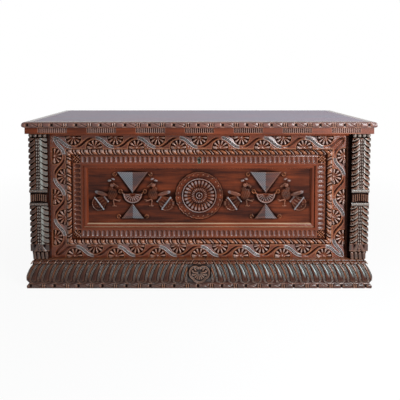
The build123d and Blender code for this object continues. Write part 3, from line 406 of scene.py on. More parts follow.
def waveFace(side, along, out, x, z):
    # the ribbon's middle is a cosine with its crests flattened; where it falls from left to
    # right it is cut as a ladder under a sloping facet, where it climbs it is a plain hollow
    # that dies out at both ends, and a half daisy fills every bay
    v = wave
    length = 2 * (halfLength(side) + v["bandOut"])
    pitch = length / v["bays"][side not in longSides]
    turn = 2 * pi * (along + length / 2) / pitch
    cut = v["crestCut"]
    middle = (v["bandIn"] + v["bandOut"]) / 2 + v["swing"] * (np.cos(turn) - cut * np.cos(3 * turn))
    slope = -v["swing"] * 2 * pi / pitch * (np.sin(turn) - 3 * cut * np.sin(3 * turn))
    off = (out - middle) / np.sqrt(1 + slope ** 2)
    upper = off * (1 if side in ("top", "right") else -1)
    inBand = (out > v["bandIn"]) & (out < v["bandOut"])
    # the facet leans away from the ladder's upper edge
    falling = ramp(fallSign[side] * slope, 0.02, 0.2)
    facet = v["facetSlope"] * np.clip(upper - v["ladderHalf"], 0, v["facetReach"]) * falling
    ground = v["flat"] - facet
    # the daisies are set into it
    bay = length / 2 - pitch / 2
    inDaisy = np.zeros(out.shape, bool)
    for across, inward, inBay in (
        (repeat(along + bay, pitch), v["bandOut"] - v["centre"] - out, out < v["bandOut"]),
        (repeat(along + length / 2, pitch), out - v["bandIn"] - v["centre"],
         (np.abs(along) < bay) & (out > v["bandIn"])),
    ):
        here = (np.hypot(across, inward) < v["reach"] + v["around"]) & inBay
        ground = np.where(here, np.maximum(v["setting"], daisy(across, inward)), ground)
        inDaisy |= here
    # the plain hollow
    climb = np.clip(-fallSign[side] * slope / 0.45, 0, 1) ** 0.5
    hollow = v["channelDepth"] * climb * dome(off, np.maximum(v["channelHalf"] * climb, 0.5), 0.6)
    height = np.where(np.abs(off) < v["channelHalf"] * climb + 1.2, v["flat"], ground) - hollow
    # the ladder: two rows of small squares between thin edges
    rungs = ridge(repeat(along, v["rungPitch"]), *v["rung"]) * (np.abs(upper) < v["ladderHalf"] - 1)
    bars = np.maximum.reduce([ridge(upper, *rail) for rail in v["rails"]] + [rungs])
    ladder = v["depth"] + 0.3 - v["ladderDepth"] * (1 - bars)
    share = falling * (1 - ramp(np.abs(upper), v["ladderHalf"] - 0.3, v["ladderHalf"] + 0.6))
    height = height * (1 - share) + ladder * share
    wavy = 1.5 * np.cos(2 * pi * along / v["crinklePitch"])
    crinkle = dome(upper + v["crinkleAt"] + wavy, 1.8) * falling
    crinkled = np.maximum(height - 1.6 * crinkle * (height > 4), 4.6 * crinkle)
    height = np.where(share < 0.1, crinkled, height)
    # a thin groove outside the band, and the part that the rope covers
    height = np.where(inBand, height, v["depth"] - ridge(out, *v["border"]))
    height = np.where(out <= front["ropeOut"], v["dip"], height)
    depth = front["frameFace"] + v["depth"] - height
    depth = np.where(out > front["railOut"], front["rimFace"], depth)
    # painted highlights on the petals, more to the right, on the sloping facet and the ladder's edges
    petals = (0.14 + 0.16 * ramp(x, -450, 300)) * ramp(height, 3.2, 5.2) * inDaisy * (share < 0.1)
    dust = 0.12 * ramp(facet, 0.2, 1.0) * ~inDaisy + petals + share * bars ** 2
    # a stronger share of painted shade on the ladder
    return depth, dust * inBand, np.where(share > 0.1, 1.25, 1.0)


def makeWaveRails():
    ropeEnd, step = front["ropeOut"], 0.1  # two close points make the wall beside the rope
    for side in sides:
        last = front["floorOut"] if side == "bottom" else front["railOut"]
        carved = np.linspace(ropeEnd + 2 * step, last, wave["points"])
        outs = np.concatenate([[front["friezeOut"], ropeEnd - step], carved])
        if side == "top":
            outs = np.concatenate([outs, [last + step, front["rimOut"]]])
        ringMember("waveRail" if side in longSides else "waveStile", side, outs, wave, waveFace)
    print("wave-carved rails and stiles made")


rope = {
    "points": 21, "stations": (900, 330), "seed": 30,
    "pitch": 36.0, "crest": -224.0, "edge": -212.0, "lean": 5.0, "bow": 4.0, "bead": 0.6, "reel": 0.24,
    "cut": 10.5, "skew": 0.35, "farOut": 87.5, "lip": -214.3, "farLean": 1.7, "nearReel": 0.7,
}


def ropeFace(side, along, out, x, z):
    # a half-round ridge; strands are measured by their distance from the middle of the side,
    # bowed outwards and leaning one way along the whole length: a bead and a thin reel to each
    # pitch; right of the middle the ridge is narrower and lower under its reels
    v = rope
    far = (along > 0) & (side in longSides)
    edge = np.where(far, v["farOut"], front["ropeOut"])
    middle = (front["friezeOut"] + edge) / 2
    across = (out - middle) / (middle - front["friezeOut"])
    leaning = -across if side == "bottom" else across
    length = 2 * (halfLength(side) + front["friezeOut"])
    pitch = length / (2 * round(length / v["pitch"] / 2))
    lean = np.where(far, v["farLean"], -1.0) * v["lean"] * leaning
    away = np.abs(along) + lean - v["bow"] * (1 - across ** 2)
    share = (away / pitch + 0.5 * v["bead"]) % 1.0
    bead = dome(share - 0.5 * v["bead"], 0.5 * v["bead"], 0.5)
    bead = bead * np.where(far, 1 - v["skew"] * ramp(-across, -0.6, 0.6), 1.0)
    reel = dome(share - 0.5 * (1 + v["bead"]), 0.5 * v["reel"], 0.6) * np.where(far, 1.0, v["nearReel"])
    swell = dome(across * 0.985, 1.0, 0.5)
    cut = v["cut"] * (1 - np.maximum(bead, reel)) * (0.3 + 0.7 * swell)
    depth = np.where(out > edge, v["lip"], v["edge"] + (v["crest"] - v["edge"]) * swell + cut)
    # painted highlights on the reels and on the outer half of each bead, except right of a rail's middle
    return depth, np.where(reel > bead, 0.3 * reel, 0.3 * bead * ramp(across, 0.0, 0.5) * ~far), 1.0


frieze = {
    "points": 32, "stations": (840, 300), "seed": 40,
    "face": -209.0, "low": 30.0, "high": 58.5, "pitch": 21.1, "hollowHalf": 9.0, "hollowDepth": 5.8,
    "lit": {"top": 0.2, "bottom": 0.2, "left": 0.0, "right": 0.16},
    "blockHalf": 17.0, "blockDepth": 4.0, "ridge": (0.0, 2.4, 4.2), "leafPitch": 9.0,
    "leaf": (0.0, 3.6, 4.0), "leafOut": 9.0, "leafSquash": 0.62, "leavesReach": 12,
    "groove": (61.0, 1.3, 1.1), "step": (63.0, 63.8, 4.0),
    "keyCentre": 548.0, "keyRadius": 8.8, "keySlot": 6.0, "keyFoot": 530.4, "keyDepth": 27.0,
}


def friezeFace(side, along, out, x, z):
    # hollows with round ends: the distance to a short line is inside the hollow's half width
    v = frieze
    span = 2 * (halfLength(side) + front["innerOut"])
    count = round(span / v["pitch"])
    pitch = span / count
    across = repeat(along + (pitch / 2 if count % 2 == 0 else 0), pitch)
    middle = (v["low"] + v["high"]) / 2
    straight = (v["high"] - v["low"]) / 2 - v["hollowHalf"]
    beyond = np.maximum(np.abs(out - middle) - straight, 0)
    hollow = v["hollowDepth"] * dome(np.hypot(across, beyond), v["hollowHalf"], 0.6)
    hollow = np.where(np.abs(along) < span / 2, hollow, 0)
    # the corner blocks: a ridge from upper left to lower right with three leaves on each side
    bx = np.abs(x) - front["fieldHalfWidth"] - (front["innerOut"] + front["friezeOut"]) / 2
    bz = np.abs(z - fieldMiddle) - fieldHalfHeight - (front["innerOut"] + front["friezeOut"]) / 2
    bx, bz = bx * np.sign(x), bz * np.sign(z - fieldMiddle)
    inBlock = (np.abs(bx) < v["blockHalf"]) & (np.abs(bz) < v["blockHalf"])
    fromRidge = np.abs(bx + bz) / 2 ** 0.5
    alongRidge = (bx - bz) / 2 ** 0.5
    squashed = (fromRidge - v["leafOut"]) * v["leafSquash"]
    fromLeaf = np.hypot(repeat(alongRidge, v["leafPitch"]), squashed)
    leaves = ridge(fromLeaf, *v["leaf"]) * (np.abs(alongRidge) < v["leavesReach"])
    block = v["blockDepth"] - np.maximum(ridge(fromRidge, *v["ridge"]), leaves)
    cut = np.where(inBlock, block, hollow)
    # a groove and a step down beside the rope
    stepFrom, stepTo, stepDepth = v["step"]
    line = ridge(out, *v["groove"]) + stepDepth * ramp(out, stepFrom, stepTo)
    slot = (np.abs(x) < v["keySlot"]) & (z > v["keyFoot"]) & (z < v["keyCentre"])
    inKey = (np.hypot(x, z - v["keyCentre"]) < v["keyRadius"]) | slot
    depth = np.where(inKey & (side == "top"), v["face"] + v["keyDepth"], v["face"] + cut + line)
    lit = v["lit"][side] * ramp(-across, 0.5, 4.5) * ramp(hollow, 0.5, 2.5) * ~inBlock
    return depth, lit, np.where(inBlock, 1.0, 0.5 if side == "left" else 0.15)


def makeRopeAndFrieze():
    ropeOuts = np.linspace(front["friezeOut"], front["ropeOut"], rope["points"])
    friezeOuts = np.linspace(front["innerOut"], front["friezeOut"], frieze["points"])
    for side in sides:
        ringMember("ropeMoulding", side, ropeOuts, rope, ropeFace)
        ringMember("flutedFrieze", side, friezeOuts, frieze, friezeFace)
    print("rope mouldings and fluted frieze made")


panel = {
    # points from the middle outwards, closer on the rosette and the groups, and points upwards
    "columns": ((0, 108, 80), (116, 126, 3), (127, 480, 166)), "rows": 178, "seed": 60, "rough": 0.25,
    "rebate": 8.0, "groupX": 296.0, "wear": 0.6, "rightDustAndHighlight": 0.75,
    # the rosette's rings by radius, and the heights of its forms
    "rosetteReach": 106.0, "ringInner": 80.0, "rim": (1.7, 5.0), "rimIn": 2.6, "rimWave": 0.9,
    "rimFloor": 2.2, "markAt": 94.0, "markHalf": (6.5, 5.0), "markHeight": 4.4, "ringCount": 27,
    "collar": (74.5, 3.5, 5.4), "petalOut": 68.0, "petalIn": 36.0, "petals": 24,
    "shortAt": 24.5, "shortHalf": 11.0, "shortHeight": 5.0, "eyeRing": (13.0, 2.6, 5.6),
    "eye": (0.0, 6.5, 5.4),
}


def rosetteRelief(x, z):
    # rings by radius: a wavy rim, a ring of marks, a smooth collar, 24 long petals and 24 short
    # ones around a boss
    v = panel
    radius, angle = polar(x, z - fieldMiddle)
    bead = angle * v["ringCount"] / (2 * pi) + 0.1 * (radius - v["markAt"]) / 6
    sideways = repeat(bead, 1.0) * 2 * pi * v["markAt"] / v["ringCount"]
    markWide, markHigh = v["markHalf"]
    fromMark = np.hypot(sideways / markWide, (radius - v["markAt"]) / markHigh)
    marks = v["markHeight"] * dome(fromMark, 1.0)
    rimAt = v["rosetteReach"] - v["rimIn"] + v["rimWave"] * np.cos(angle * v["ringCount"])
    rim = np.maximum(marks, ridge(radius, rimAt, *v["rim"]))
    rim = np.maximum(rim, v["rimFloor"] * (radius > v["ringInner"]) * (radius < rimAt))
    collar = ridge(radius, *v["collar"])
    turn = 2 * pi / v["petals"]
    sideways = repeat(angle, turn) / (turn * 0.45)
    petalMiddle = (v["petalOut"] + v["petalIn"]) / 2
    lengthwise = (radius - petalMiddle - 1) / ((v["petalOut"] - v["petalIn"]) / 2 + 1)
    petal = np.clip(1 - lengthwise ** 4 - sideways ** 2, 0, 1) ** 0.5
    petal = (2.6 + 3.2 * ramp(radius, 36, 66)) * petal
    inner = repeat(angle + turn / 2, turn) / (turn * 0.44)
    lengthwise = (radius - v["shortAt"]) / v["shortHalf"]
    short = v["shortHeight"] * np.clip(1 - lengthwise ** 4 - inner ** 2, 0, 1) ** 0.5
    short = short * ramp(radius, 12, 30)
    eye = np.maximum(ridge(radius, *v["eyeRing"]), ridge(radius, *v["eye"]))
    low = np.where(radius < v["petalIn"], 1.5, 1.0) * (radius < v["rosetteReach"])
    return np.maximum.reduce([rim, collar, petal, short, eye, low])


def segment(x, z, start, end):  # distance to a straight line
    dx, dz = end[0] - start[0], end[1] - start[1]
    share = np.clip(((x - start[0]) * dx + (z - start[1]) * dz) / (dx * dx + dz * dz), 0, 1)
    return np.hypot(x - start[0] - share * dx, z - start[1] - share * dz)


def bar(x, z, start, end, halfWidth, height, power=0.5):
    return ridge(segment(x, z, start, end), 0.0, halfWidth, height, power)


def oval(x, z, centre, longHalf, shortHalf, tilt):  # 0 in the middle, 1 on the edge of an ellipse
    dx, dz = x - centre[0], z - centre[1]
    a = (dx * cos(tilt) + dz * sin(tilt)) / longHalf
    b = (-dx * sin(tilt) + dz * cos(tilt)) / shortHalf
    return np.hypot(a, b)


def scroll(x, z, centre, reach, height, gap):  # a ring with one gap: the gap is an angle
    radius, angle = polar(x - centre[0], z - centre[1])
    away = np.abs(repeat(angle - gap, 2 * pi))
    ring = ridge(radius, reach, 2.8, height) * ramp(away, 0.3, 0.6)
    return np.maximum(ring, ridge(radius, 0.0, 2.6, 0.9 * height))


bird = {
    "height": 4.6,
    # ovals: middle, half length, half height and tilt
    "body": ((90.0, 388.0), 26.0, 21.0, -1.02), "wing": ((139, 392), 31.0, 9.5, 0.28),
    "head": ((92.0, 429.0), 10.5, 9.5, 0),
    "plumes": (((103, 450), 9.5, 5.0, -0.15), ((87, 457), 8.5, 4.6, 0.35)),
    "neck": ((97.0, 412.0), (92, 392)), "neckHalf": 11.0,
    # bars: both ends, half width and share of the height; two for the beak, then the two legs
    "bars": (
        ((86, 438), (66, 424), 2.4, 1.0), ((85, 430), (67, 420), 1.8, 0.7),
        ((84, 366), (60, 358), 3.4, 0.9), ((66, 362), (54, 364), 2.2, 0.8),
        ((86, 362), (83, 338), 3.0, 0.9), ((90, 336), (74, 336), 2.4, 0.8),
    ),
    "collar": ((126, 377), (109, 356), 3.4), "tailBar": ((168.0, 373.5), (129.5, 321.5), 3.6),
    "barShare": 1.2, "tailOut": (0.805, -0.593), "tailLength": 40,
    # the fan's half width at two places behind the tail's bar; the cap's rim and its four eyes
    "fanHalf": ((-42, 0), (11, 32.5)), "featherPitch": 13.0, "low": 1.6, "fanRim": (-2.2, 2.2, 1.4),
    "capReach": 33, "capRim": (30.8, 1.8, 2.6),
    "eyesAt": 17, "eye": (0.0, 4.0, 4.0), "eyeTurns": (-56, -20, 20, 56),
}


def birdRelief(x, z):
    # x is the distance outward from the group's middle line; every part is a low rounded form
    v = bird
    h = v["height"]
    hatch = ripple(x * 0.35 + z * 0.94, 5.6, 0.28)
    crossHatch = ripple(x * 0.94 - z * 0.35, 7.5, 0.2)
    trunk = np.minimum(oval(x, z, *v["body"]), segment(x, z, *v["neck"]) / v["neckHalf"])
    wing = oval(x, z, *v["wing"])
    parts = [h * dome(trunk, 1.0, 0.5, 4) * hatch * crossHatch]
    parts.append(h * dome(wing, 1.0, 0.5, 4) * ripple(x + 0.6 * z, 6.0, 0.22))
    parts += [h * dome(oval(x, z, *form), 1.0) for form in (v["head"], *v["plumes"])]
    parts += [bar(x, z, *line, h * share) for *line, share in v["bars"]]
    collar = bar(x, z, *v["collar"], h * v["barShare"])
    tailBar = bar(x, z, *v["tailBar"], h * v["barShare"], 0.35)
    # the tail is a fan up to its bar and a half-round cap beyond it: u points out of the bar's
    # middle, w runs along it
    barMiddle = (np.array(v["tailBar"][0]) + np.array(v["tailBar"][1])) / 2
    outX, outZ = v["tailOut"]
    u = (x - barMiddle[0]) * outX + (z - barMiddle[1]) * outZ
    w = (x - barMiddle[0]) * -outZ + (z - barMiddle[1]) * outX
    half = np.interp(u, *v["fanHalf"])
    fan = (np.abs(w) < half) & (u < 0) & (u > -v["tailLength"])
    feathers = ridge(repeat(w, v["featherPitch"]), 0.0, 3.0, v["low"]) * ramp(u, -36, -20)
    fanForm = v["low"] + ridge(np.abs(w) - half, *v["fanRim"]) + feathers
    cap = np.hypot(u, w)
    capForm = v["low"] + ridge(cap, *v["capRim"])
    for turn in v["eyeTurns"]:
        du, dw = u - v["eyesAt"] * cos(radians(turn)), w - v["eyesAt"] * sin(radians(turn))
        capForm = np.maximum(capForm, ridge(np.hypot(du, dw), *v["eye"]))
    capForm = np.where((u > 0) & (cap < v["capReach"]), capForm, 0)
    parts += [collar, tailBar, np.where(fan, fanForm, 0), capForm]
    # painted highlights on the bars, the crest and the wing's tip, painted shade on the hatched parts
    form = np.maximum.reduce(parts)
    crest = ramp(z, 441, 446) * (x > 78) * (x < 114) * (form > 2)
    wingTip = 0.5 * (wing < 1) * ramp(x, 150, 166)
    birdHighlight = np.maximum.reduce([0.8 * (tailBar > 2), 0.7 * (collar > 2), 0.4 * crest, wingTip])
    hatched = (trunk < 1) | (fan & (tailBar < 2)) | ((u > 0) & (cap < 29))
    return form, birdHighlight, 0.42 * hatched


group = {
    # triangles: half width, height of the tip and of the straight edge, relief on the middle
    # line, painted light left and right of it
    "triangles": ((70.0, 395.0, 489.0, 5.0, 0.95, 0.25), (49.0, 345.0, 280.0, 2.2, 0.25, 0.9)),
    "facetFall": 3.0, "linePitch": 6.6, "lineDepth": 0.4,
    "cupAt": 391, "cupReach": 43, "cupRim": (38.5, 4.6, 6.0, 0.45), "cupFloor": 2.0,
    "rayTurn": pi / 9, "rays": (23, 13.5, 6.4),
    "scrolls": (((54, 402), 7.5, 5.2, -2.6), ((80, 478), 7.0, 4.6, 2.4), ((62, 289), 7.0, 4.6, -2.4)),
    "stalk": ((41, 391), (48, 399), 3.4, 5.2),
}


def groupRelief(x, z):
    # two triangles of two sloping facets scored with slanted lines, a gadrooned cup on scrolls,
    # and a bird on each side
    v = group
    side = np.abs(x)
    birdForm, birdHighlight, shade = birdRelief(side, z)
    parts, dust = [birdForm], 0
    for half, tip, edge, middle, left, right in v["triangles"]:
        up = 1 if edge > tip else -1
        inside = (side < half * (z - tip) / (edge - tip)) & ((z - edge) * up < 0)
        lines = np.sin(2 * pi * (side * 0.8 - up * z * 0.6) / v["linePitch"])
        facets = middle - up * v["facetFall"] * side / half + v["lineDepth"] * lines
        parts.append(np.where(inside, facets, 0))
        # painted light: each facet gets its own share, by its side of the middle line
        dust = dust + inside * (left * (x < 0) + right * (x > 0))
        shade = np.maximum(shade, np.where(inside, 0.3 - 0.22 * lines, 0))
    radius, angle = polar(x, z - v["cupAt"])
    rays = dome(repeat(angle - v["rayTurn"] / 2, v["rayTurn"]) * radius, 0.13 * radius + 0.4)
    raysAt, raysHalf, raysHeight = v["rays"]
    rays = raysHeight * rays * dome(radius - raysAt, raysHalf, 0.35)
    inCup = (z < v["cupAt"]) & (radius < v["cupReach"])
    cup = np.maximum(np.maximum(rays, ridge(radius, *v["cupRim"])), v["cupFloor"])
    cup = np.where(inCup, cup, 0)
    parts += [cup, bar(side, z, *v["stalk"])] + [scroll(side, z, *values) for values in v["scrolls"]]
    # painted highlights on the cup's rays and rim and on the birds' bars and raised forms
    dust += 0.4 * ramp(cup, 4.2, 5.6) * (side < 45) + birdHighlight + 0.12 * ramp(birdForm, 2.4, 4.0)
    return np.maximum.reduce(parts), np.clip(dust, 0, 1), shade


def makePanel():
    v = panel
    halfWidth = front["fieldHalfWidth"] + v["rebate"]
    xs = np.concatenate([np.linspace(*part) for part in v["columns"]] + [[halfWidth]])
    xs = np.concatenate([-xs[:0:-1], xs])
    zs = np.linspace(front["fieldBottom"] - v["rebate"], front["fieldTop"] + v["rebate"], v["rows"])
    x, z = np.meshgrid(xs, zs, indexing="ij")
    groups, dust, shade = groupRelief(x - np.sign(x) * v["groupX"], z)
    rosette = rosetteRelief(x, z)
    petals = np.hypot(x, z - fieldMiddle) < v["ringInner"]
    # painted highlights on the rosette's raised forms, stronger on its petals
    dust = dust + (0.1 + 0.35 * petals) * ramp(rosette, 3.6, 5.2)
    relief = np.maximum(groups, rosette)
    depth = front["fieldFace"] - relief + handCut(x.shape, v["seed"], v["rough"])
    tints = carvedTints(depth)
    # painted shade on the hatched parts of the birds and triangles
    tints["hollow"] = np.maximum(tints["hollow"], shade)
    tints["wear"] = tints["wear"] * v["wear"]
    tints["dust"] = dust * (1 - tints["hollow"]) * np.where(x > 0, v["rightDustAndHighlight"], 1.0)
    facePiece("carvedPanel", x, depth, z, tints, panelWood)
    print("carved panel made")


# mouldings that run along the front and both sides
def sectionPoints(corners, count, soften):
    # points at equal steps along a line through the corners, softened by a running mean
    corners = np.array(corners, float)
    steps = np.hypot(*np.diff(corners, axis=0).T)
    walked = np.concatenate([[0], np.cumsum(steps)])
    wanted = np.linspace(0, walked[-1], count)
    line = np.stack([np.interp(wanted, walked, corners[:, k]) for k in (0, 1)], axis=-1)
    for _ in range(soften):
        line[1:-1] = (line[:-2] + line[1:-1] + line[2:]) / 3
    return line


def mouldedRun(name, side, v, reliefOf, material, number):
    # the section's first number stands out from the edge line; the relief pushes each point
    # along the section's own normal, and the ends follow the mitre, where x and y grow alike
    (edgeX, edgeY), back, count = v["edge"], v["back"], v["points"]
    line = sectionPoints(v["section"], count, v["soften"])
    tangent = np.gradient(line, axis=0)
    normal = np.stack([tangent[:, 1], -tangent[:, 0]], axis=-1)
    normal /= np.linalg.norm(normal, axis=1)[:, None]
    length = 2 * edgeX if side == "front" else back + edgeY
    stations = int(length / v["steps"][side != "front"])
    t = np.linspace(0, 1, stations)[:, None]
    if side == "front":
        along = (2 * t - 1) * (edgeX + line[:, 0])
    else:
        along = -(edgeY + line[:, 0]) + (back + edgeY + line[:, 0]) * t
    share = np.broadcast_to(np.linspace(0, 1, count), along.shape)
    relief, dust = reliefOf(along, share, side)
    relief = relief + handCut(relief.shape, v["seed"] + number, v["rough"])
    tints = carvedTints(-relief)
    tints["dust"] = dust
    # hidden points at the reach behind the edge line close each ring
    reaches = (v["reach"], v["frontReach"]) if side == "front" and "frontReach" in v else (v["reach"],)
    ends = [(-r, line[-1, 1]) for r in reaches] + [(-r, line[0, 1]) for r in reaches[::-1]]
    out, z = [
        np.concatenate([
            line[:, k] + relief * normal[:, k],
            np.broadcast_to([e[k] for e in ends], (stations, len(ends))),
        ], axis=1) for k in (0, 1)
    ]
    z = np.maximum(z, 0.0)
    mitre = np.maximum(out, -v["reach"])
    if side == "front":
        rings = np.stack([(2 * t - 1) * (edgeX + mitre), -edgeY - out, z], axis=-1)
    else:
        start = -(edgeY + mitre)
        x = (edgeX + out) * (1 if side == "right" else -1)
        rings = np.stack([x, start + (back - start) * t, z], axis=-1)
    barPiece(f"{name}.{side}", rings, padded(tints, len(ends)), material)


plinth = {"edge": (712.0, 232.0), "back": 255.0, "reach": 42.0, "rough": 0.2}
torus = plinth | {
    "section": [(24, 22), (28, 27), (31, 36), (32, 45), (31.3, 53), (29.5, 61), (26.5, 70), (23, 79),
                (18, 89), (12, 97)],
    "points": 66, "steps": (1.3, 1.3), "soften": 2, "seed": 70,
    "height": 78.0, "pitch": 51.5, "first": 45.0, "sideFirst": 60, "lean": 23.0,
    "bulbHeight": 17.0, "bulb": 11.5, "neck": 6.5, "bulge": 4.0, "ground": 2.4,
    "cordPlaces": (3.6, 8.2), "cordHalf": 1.9, "cordHeight": 3.6, "beadPitch": 5.0, "beadCut": 0.38,
    "spread": 0.25, "band": (11.4, 12.6, 2.6), "shineAt": 0.3, "shineHalf": 0.5,
    "clearing": 52.0, "clearingDepth": 2.8, "clearingDust": 0.15,
}
medallion = {
    # circles by height and radius, and how far out the two lobes stand
    "lobes": (66, 27), "lobesX": 19, "body": (56, 33),
    "rings": ((-2.6, 2.2, 3.6), (-7.4, 1.8, 2.6)), "scroll": ((13, 84), 7.5, 3.6, -2.0),
    "middle": 68.0, "rays": 16, "raysAt": (17.0, 12, 4.2),
    "dotsX": 29, "dotsAt": (72, 59), "dot": (0.0, 4.6, 4.0), "ground": 1.2, "foot": 22,
}


def medallionRelief(x, z):
    # a heart from two circles over a larger one, ringed twice, with two scrolls and a fan of rays
    v = medallion
    side = np.abs(x)
    lobes = np.hypot(side - v["lobesX"], z - v["lobes"][0]) - v["lobes"][1]
    heart = np.minimum(lobes, np.hypot(x, z - v["body"][0]) - v["body"][1])
    outer, inner = [ridge(heart, *ring) for ring in v["rings"]]
    radius, angle = polar(x, z - v["middle"])
    raysAt, raysHalf, raysHeight = v["raysAt"]
    rays = dome(repeat(angle, 2 * pi / v["rays"]) * radius, 0.16 * radius + 0.1)
    rays = raysHeight * rays * dome(radius - raysAt, raysHalf, 0.4) * (z < v["middle"] + 2)
    dots = [ridge(np.hypot(side - v["dotsX"], z - at), *v["dot"]) for at in v["dotsAt"]]
    forms = [outer + inner, scroll(side, z, *v["scroll"]), rays, *dots]
    return heart, np.maximum.reduce(forms) - v["ground"]


def torusRelief(along, share, side):
    # leaning gadroons: the distance to a line whose radius grows from the neck at the top to the
    # bulb at the foot makes a teardrop; two rows of beads follow its outline on each side, and
    # the band left between two pairs of rows widens to a triangle at the foot
    v = torus
    away = np.abs(along) if side == "front" else -along + v["sideFirst"]
    height = share * v["height"]
    line = away - v["first"] - v["lean"] * (1 - share ** 2)
    across = repeat(line - v["pitch"] / 2, v["pitch"])
    climb = np.clip((height - v["bulbHeight"]) / (v["height"] - v["bulbHeight"]), 0, 1)
    radius = v["bulb"] + (v["neck"] - v["bulb"]) * climb
    beside = np.hypot(across, np.minimum(height - v["bulbHeight"], 0)) - radius
    drop = v["bulge"] * dome(1 + beside / radius, 1.0, 0.45)
    spread = beside / (1 + v["spread"] * climb)
    beads = 0
    for number, place in enumerate(v["cordPlaces"]):
        twist = ripple(height * 1.05 / v["beadPitch"] + 0.5 * number, 1.0, v["beadCut"])
        beads = beads + dome(spread - place, v["cordHalf"]) * twist
    bandFrom, bandTo, bandHeight = v["band"]
    band = bandHeight * ramp(spread, bandFrom, bandTo) * (0.35 + 0.65 * ramp(share, 0.12, 0.5))
    relief = np.where(beside < 0, drop, v["cordHeight"] * beads + band) - v["ground"]
    relief = relief * ramp(share, 0.0, 0.05)
    # the rows of beads are paler towards their tops, as painted light from above, and on the front they
    # are darker towards the left end; each drop right of the middle has a painted highlight beside its middle
    dust = 0.75 * ramp(beads, 0.2, 0.7) * (beside > 0) * (0.3 + 0.7 * ramp(share, 0.1, 0.6))
    if side == "front":
        dust = dust * (0.6 + 0.4 * ramp(along, -700, 100))
        shine = dome(across / radius - v["shineAt"], v["shineHalf"]) * ramp(along, -200, 300)
        dust = np.where(beside < 0, 0.8 * shine * ramp(share, 0.3, 0.65), dust)
        dust = np.where(away < v["clearing"], v["clearingDust"], dust)
        heart, shell = medallionRelief(along, medallion["foot"] + height * 0.97)
        around = np.where(away < v["clearing"], -v["clearingDepth"], relief)
        relief = np.where(heart < 0, shell, around)
    return relief, dust


base = plinth | {
    "section": [(29, 0), (30.4, 4), (31.2, 9), (30, 14), (26.4, 17.4), (22.2, 18.6), (22, 22)],
    "points": 22, "steps": (1.4, 1.4), "soften": 1, "seed": 80, "pitch": 103.5, "depth": 5.0, "dust": 0.15,
    "reels": (4.6, 3.3, 0.95), "lobe": (25.5, 16.0, 1.0, 0.25), "leaf": (72.5, 21.5, 1.0, 0.3),
}


def bobbinForm(along, share):
    # one repeat, from the middle of a pair of reels: a smooth lobe, a deep hole and a longer
    # leaf with one curved cut, each with square shoulders
    v = base
    start = (along - v["pitch"] / 2) % v["pitch"]
    reels = ridge(np.minimum(start, v["pitch"] - start), *v["reels"])
    lobe, leaf = ridge(start, *v["lobe"]), ridge(start, *v["leaf"])
    leafAt, leafHalf = v["leaf"][:2]
    cut = 0.3 * dome((start - leafAt - 4) / leafHalf * 0.4 + (share - 0.5), 0.1) * (leaf > 0.5)
    return np.maximum.reduce([reels, lobe, leaf - cut])


def bobbinRelief(along, share, side):
    bulge = dome(share - 0.42, 0.5, 0.6)
    kept = ramp(share, 0.0, 0.1) * (1 - ramp(share, 0.72, 0.82))
    relief = -base["depth"] * (1 - bobbinForm(along, share)) * (0.3 + 0.7 * bulge) * kept
    return relief, np.full_like(relief, base["dust"])


leafRun = plinth | {
    "section": [(13, 97), (16.5, 98.2), (18.8, 101), (19, 104), (16.8, 108), (11, 111.2), (3, 112.8),
                (0, 113)],
    "points": 24, "steps": (1.2, 1.2), "soften": 1, "seed": 90, "pitch": 33.0, "lean": 14.0, "depth": 4.4,
    "ridgeHalf": 3.2, "lobeAt": (15.5, 0.5), "lobeHalf": (12.0, 0.34), "innerLobe": 0.62, "dust": 0.35,
}


def leafRelief(along, share, side):
    # a slanted ridge every pitch, and between two ridges a lens-shaped lobe over a deep corner
    v = leafRun
    away = np.abs(along) if side == "front" else -along
    place = (away - v["lean"] * (0.5 - share)) % v["pitch"]
    slanted = dome(repeat(place, v["pitch"]), v["ridgeHalf"])
    lens = [(q - middle) / half for q, middle, half in zip((place, share), v["lobeAt"], v["lobeHalf"])]
    lens = np.hypot(*lens)
    lobe = 0.85 * dome(lens, 1.0, 0.4) - 0.35 * dome(lens, v["innerLobe"], 0.7)
    rim = 0.9 * ramp(share, 0.84, 0.95)
    return -v["depth"] * (1 - np.maximum.reduce([slanted, lobe, rim])), v["dust"] * slanted


fascia = {
    "edge": (741.0, 263.0), "back": 255.0, "section": [(0, 669.0), (0, 696.5)], "reach": 29.0,
    "frontReach": 51.0, "points": 15, "steps": (1.1, 6.0), "soften": 0, "rough": 0.04, "seed": 100,
    "groupPitch": 208.0, "groovePitch": 8.8, "grooves": 14, "grooveHalf": 3.0, "grooveDepth": 3.4,
    "footGroove": (0.03, 0.03, 0.6), "dust": 0.3,
}


def fasciaRelief(along, share, side):
    # seven groups of fourteen short grooves with square ends on the front, plain sides
    v = fascia
    if side != "front":
        return np.zeros_like(along), np.zeros_like(along)
    inGroup = repeat(along, v["groupPitch"])
    half = v["groovePitch"] * v["grooves"] / 2
    groove = dome(repeat(inGroup - v["groovePitch"] / 2, v["groovePitch"]), v["grooveHalf"], 0.6)
    inside = (np.abs(inGroup) < half) & (share > 0.16) & (share < 0.86)
    relief = -v["grooveDepth"] * groove * inside - ridge(share, *v["footGroove"])
    return relief, v["dust"] * inside * (1 - groove)


lidEdge = {
    "section": [(-5, 697), (-5, 698), (-2.0, 699.5), (-0.4, 703), (0, 707), (-0.4, 711), (-1.6, 715),
                (-4.5, 718.4), (-9, 720)],
    "points": 26, "steps": (1.5, 1.5), "soften": 0, "rough": 0.0, "seed": 110, "depth": 6.0,
    "edge": (750.0, 275.0), "back": 275.0, "reach": 34.0, "plainEnd": 7.0, "endFade": 4, "dust": 0.1,
}


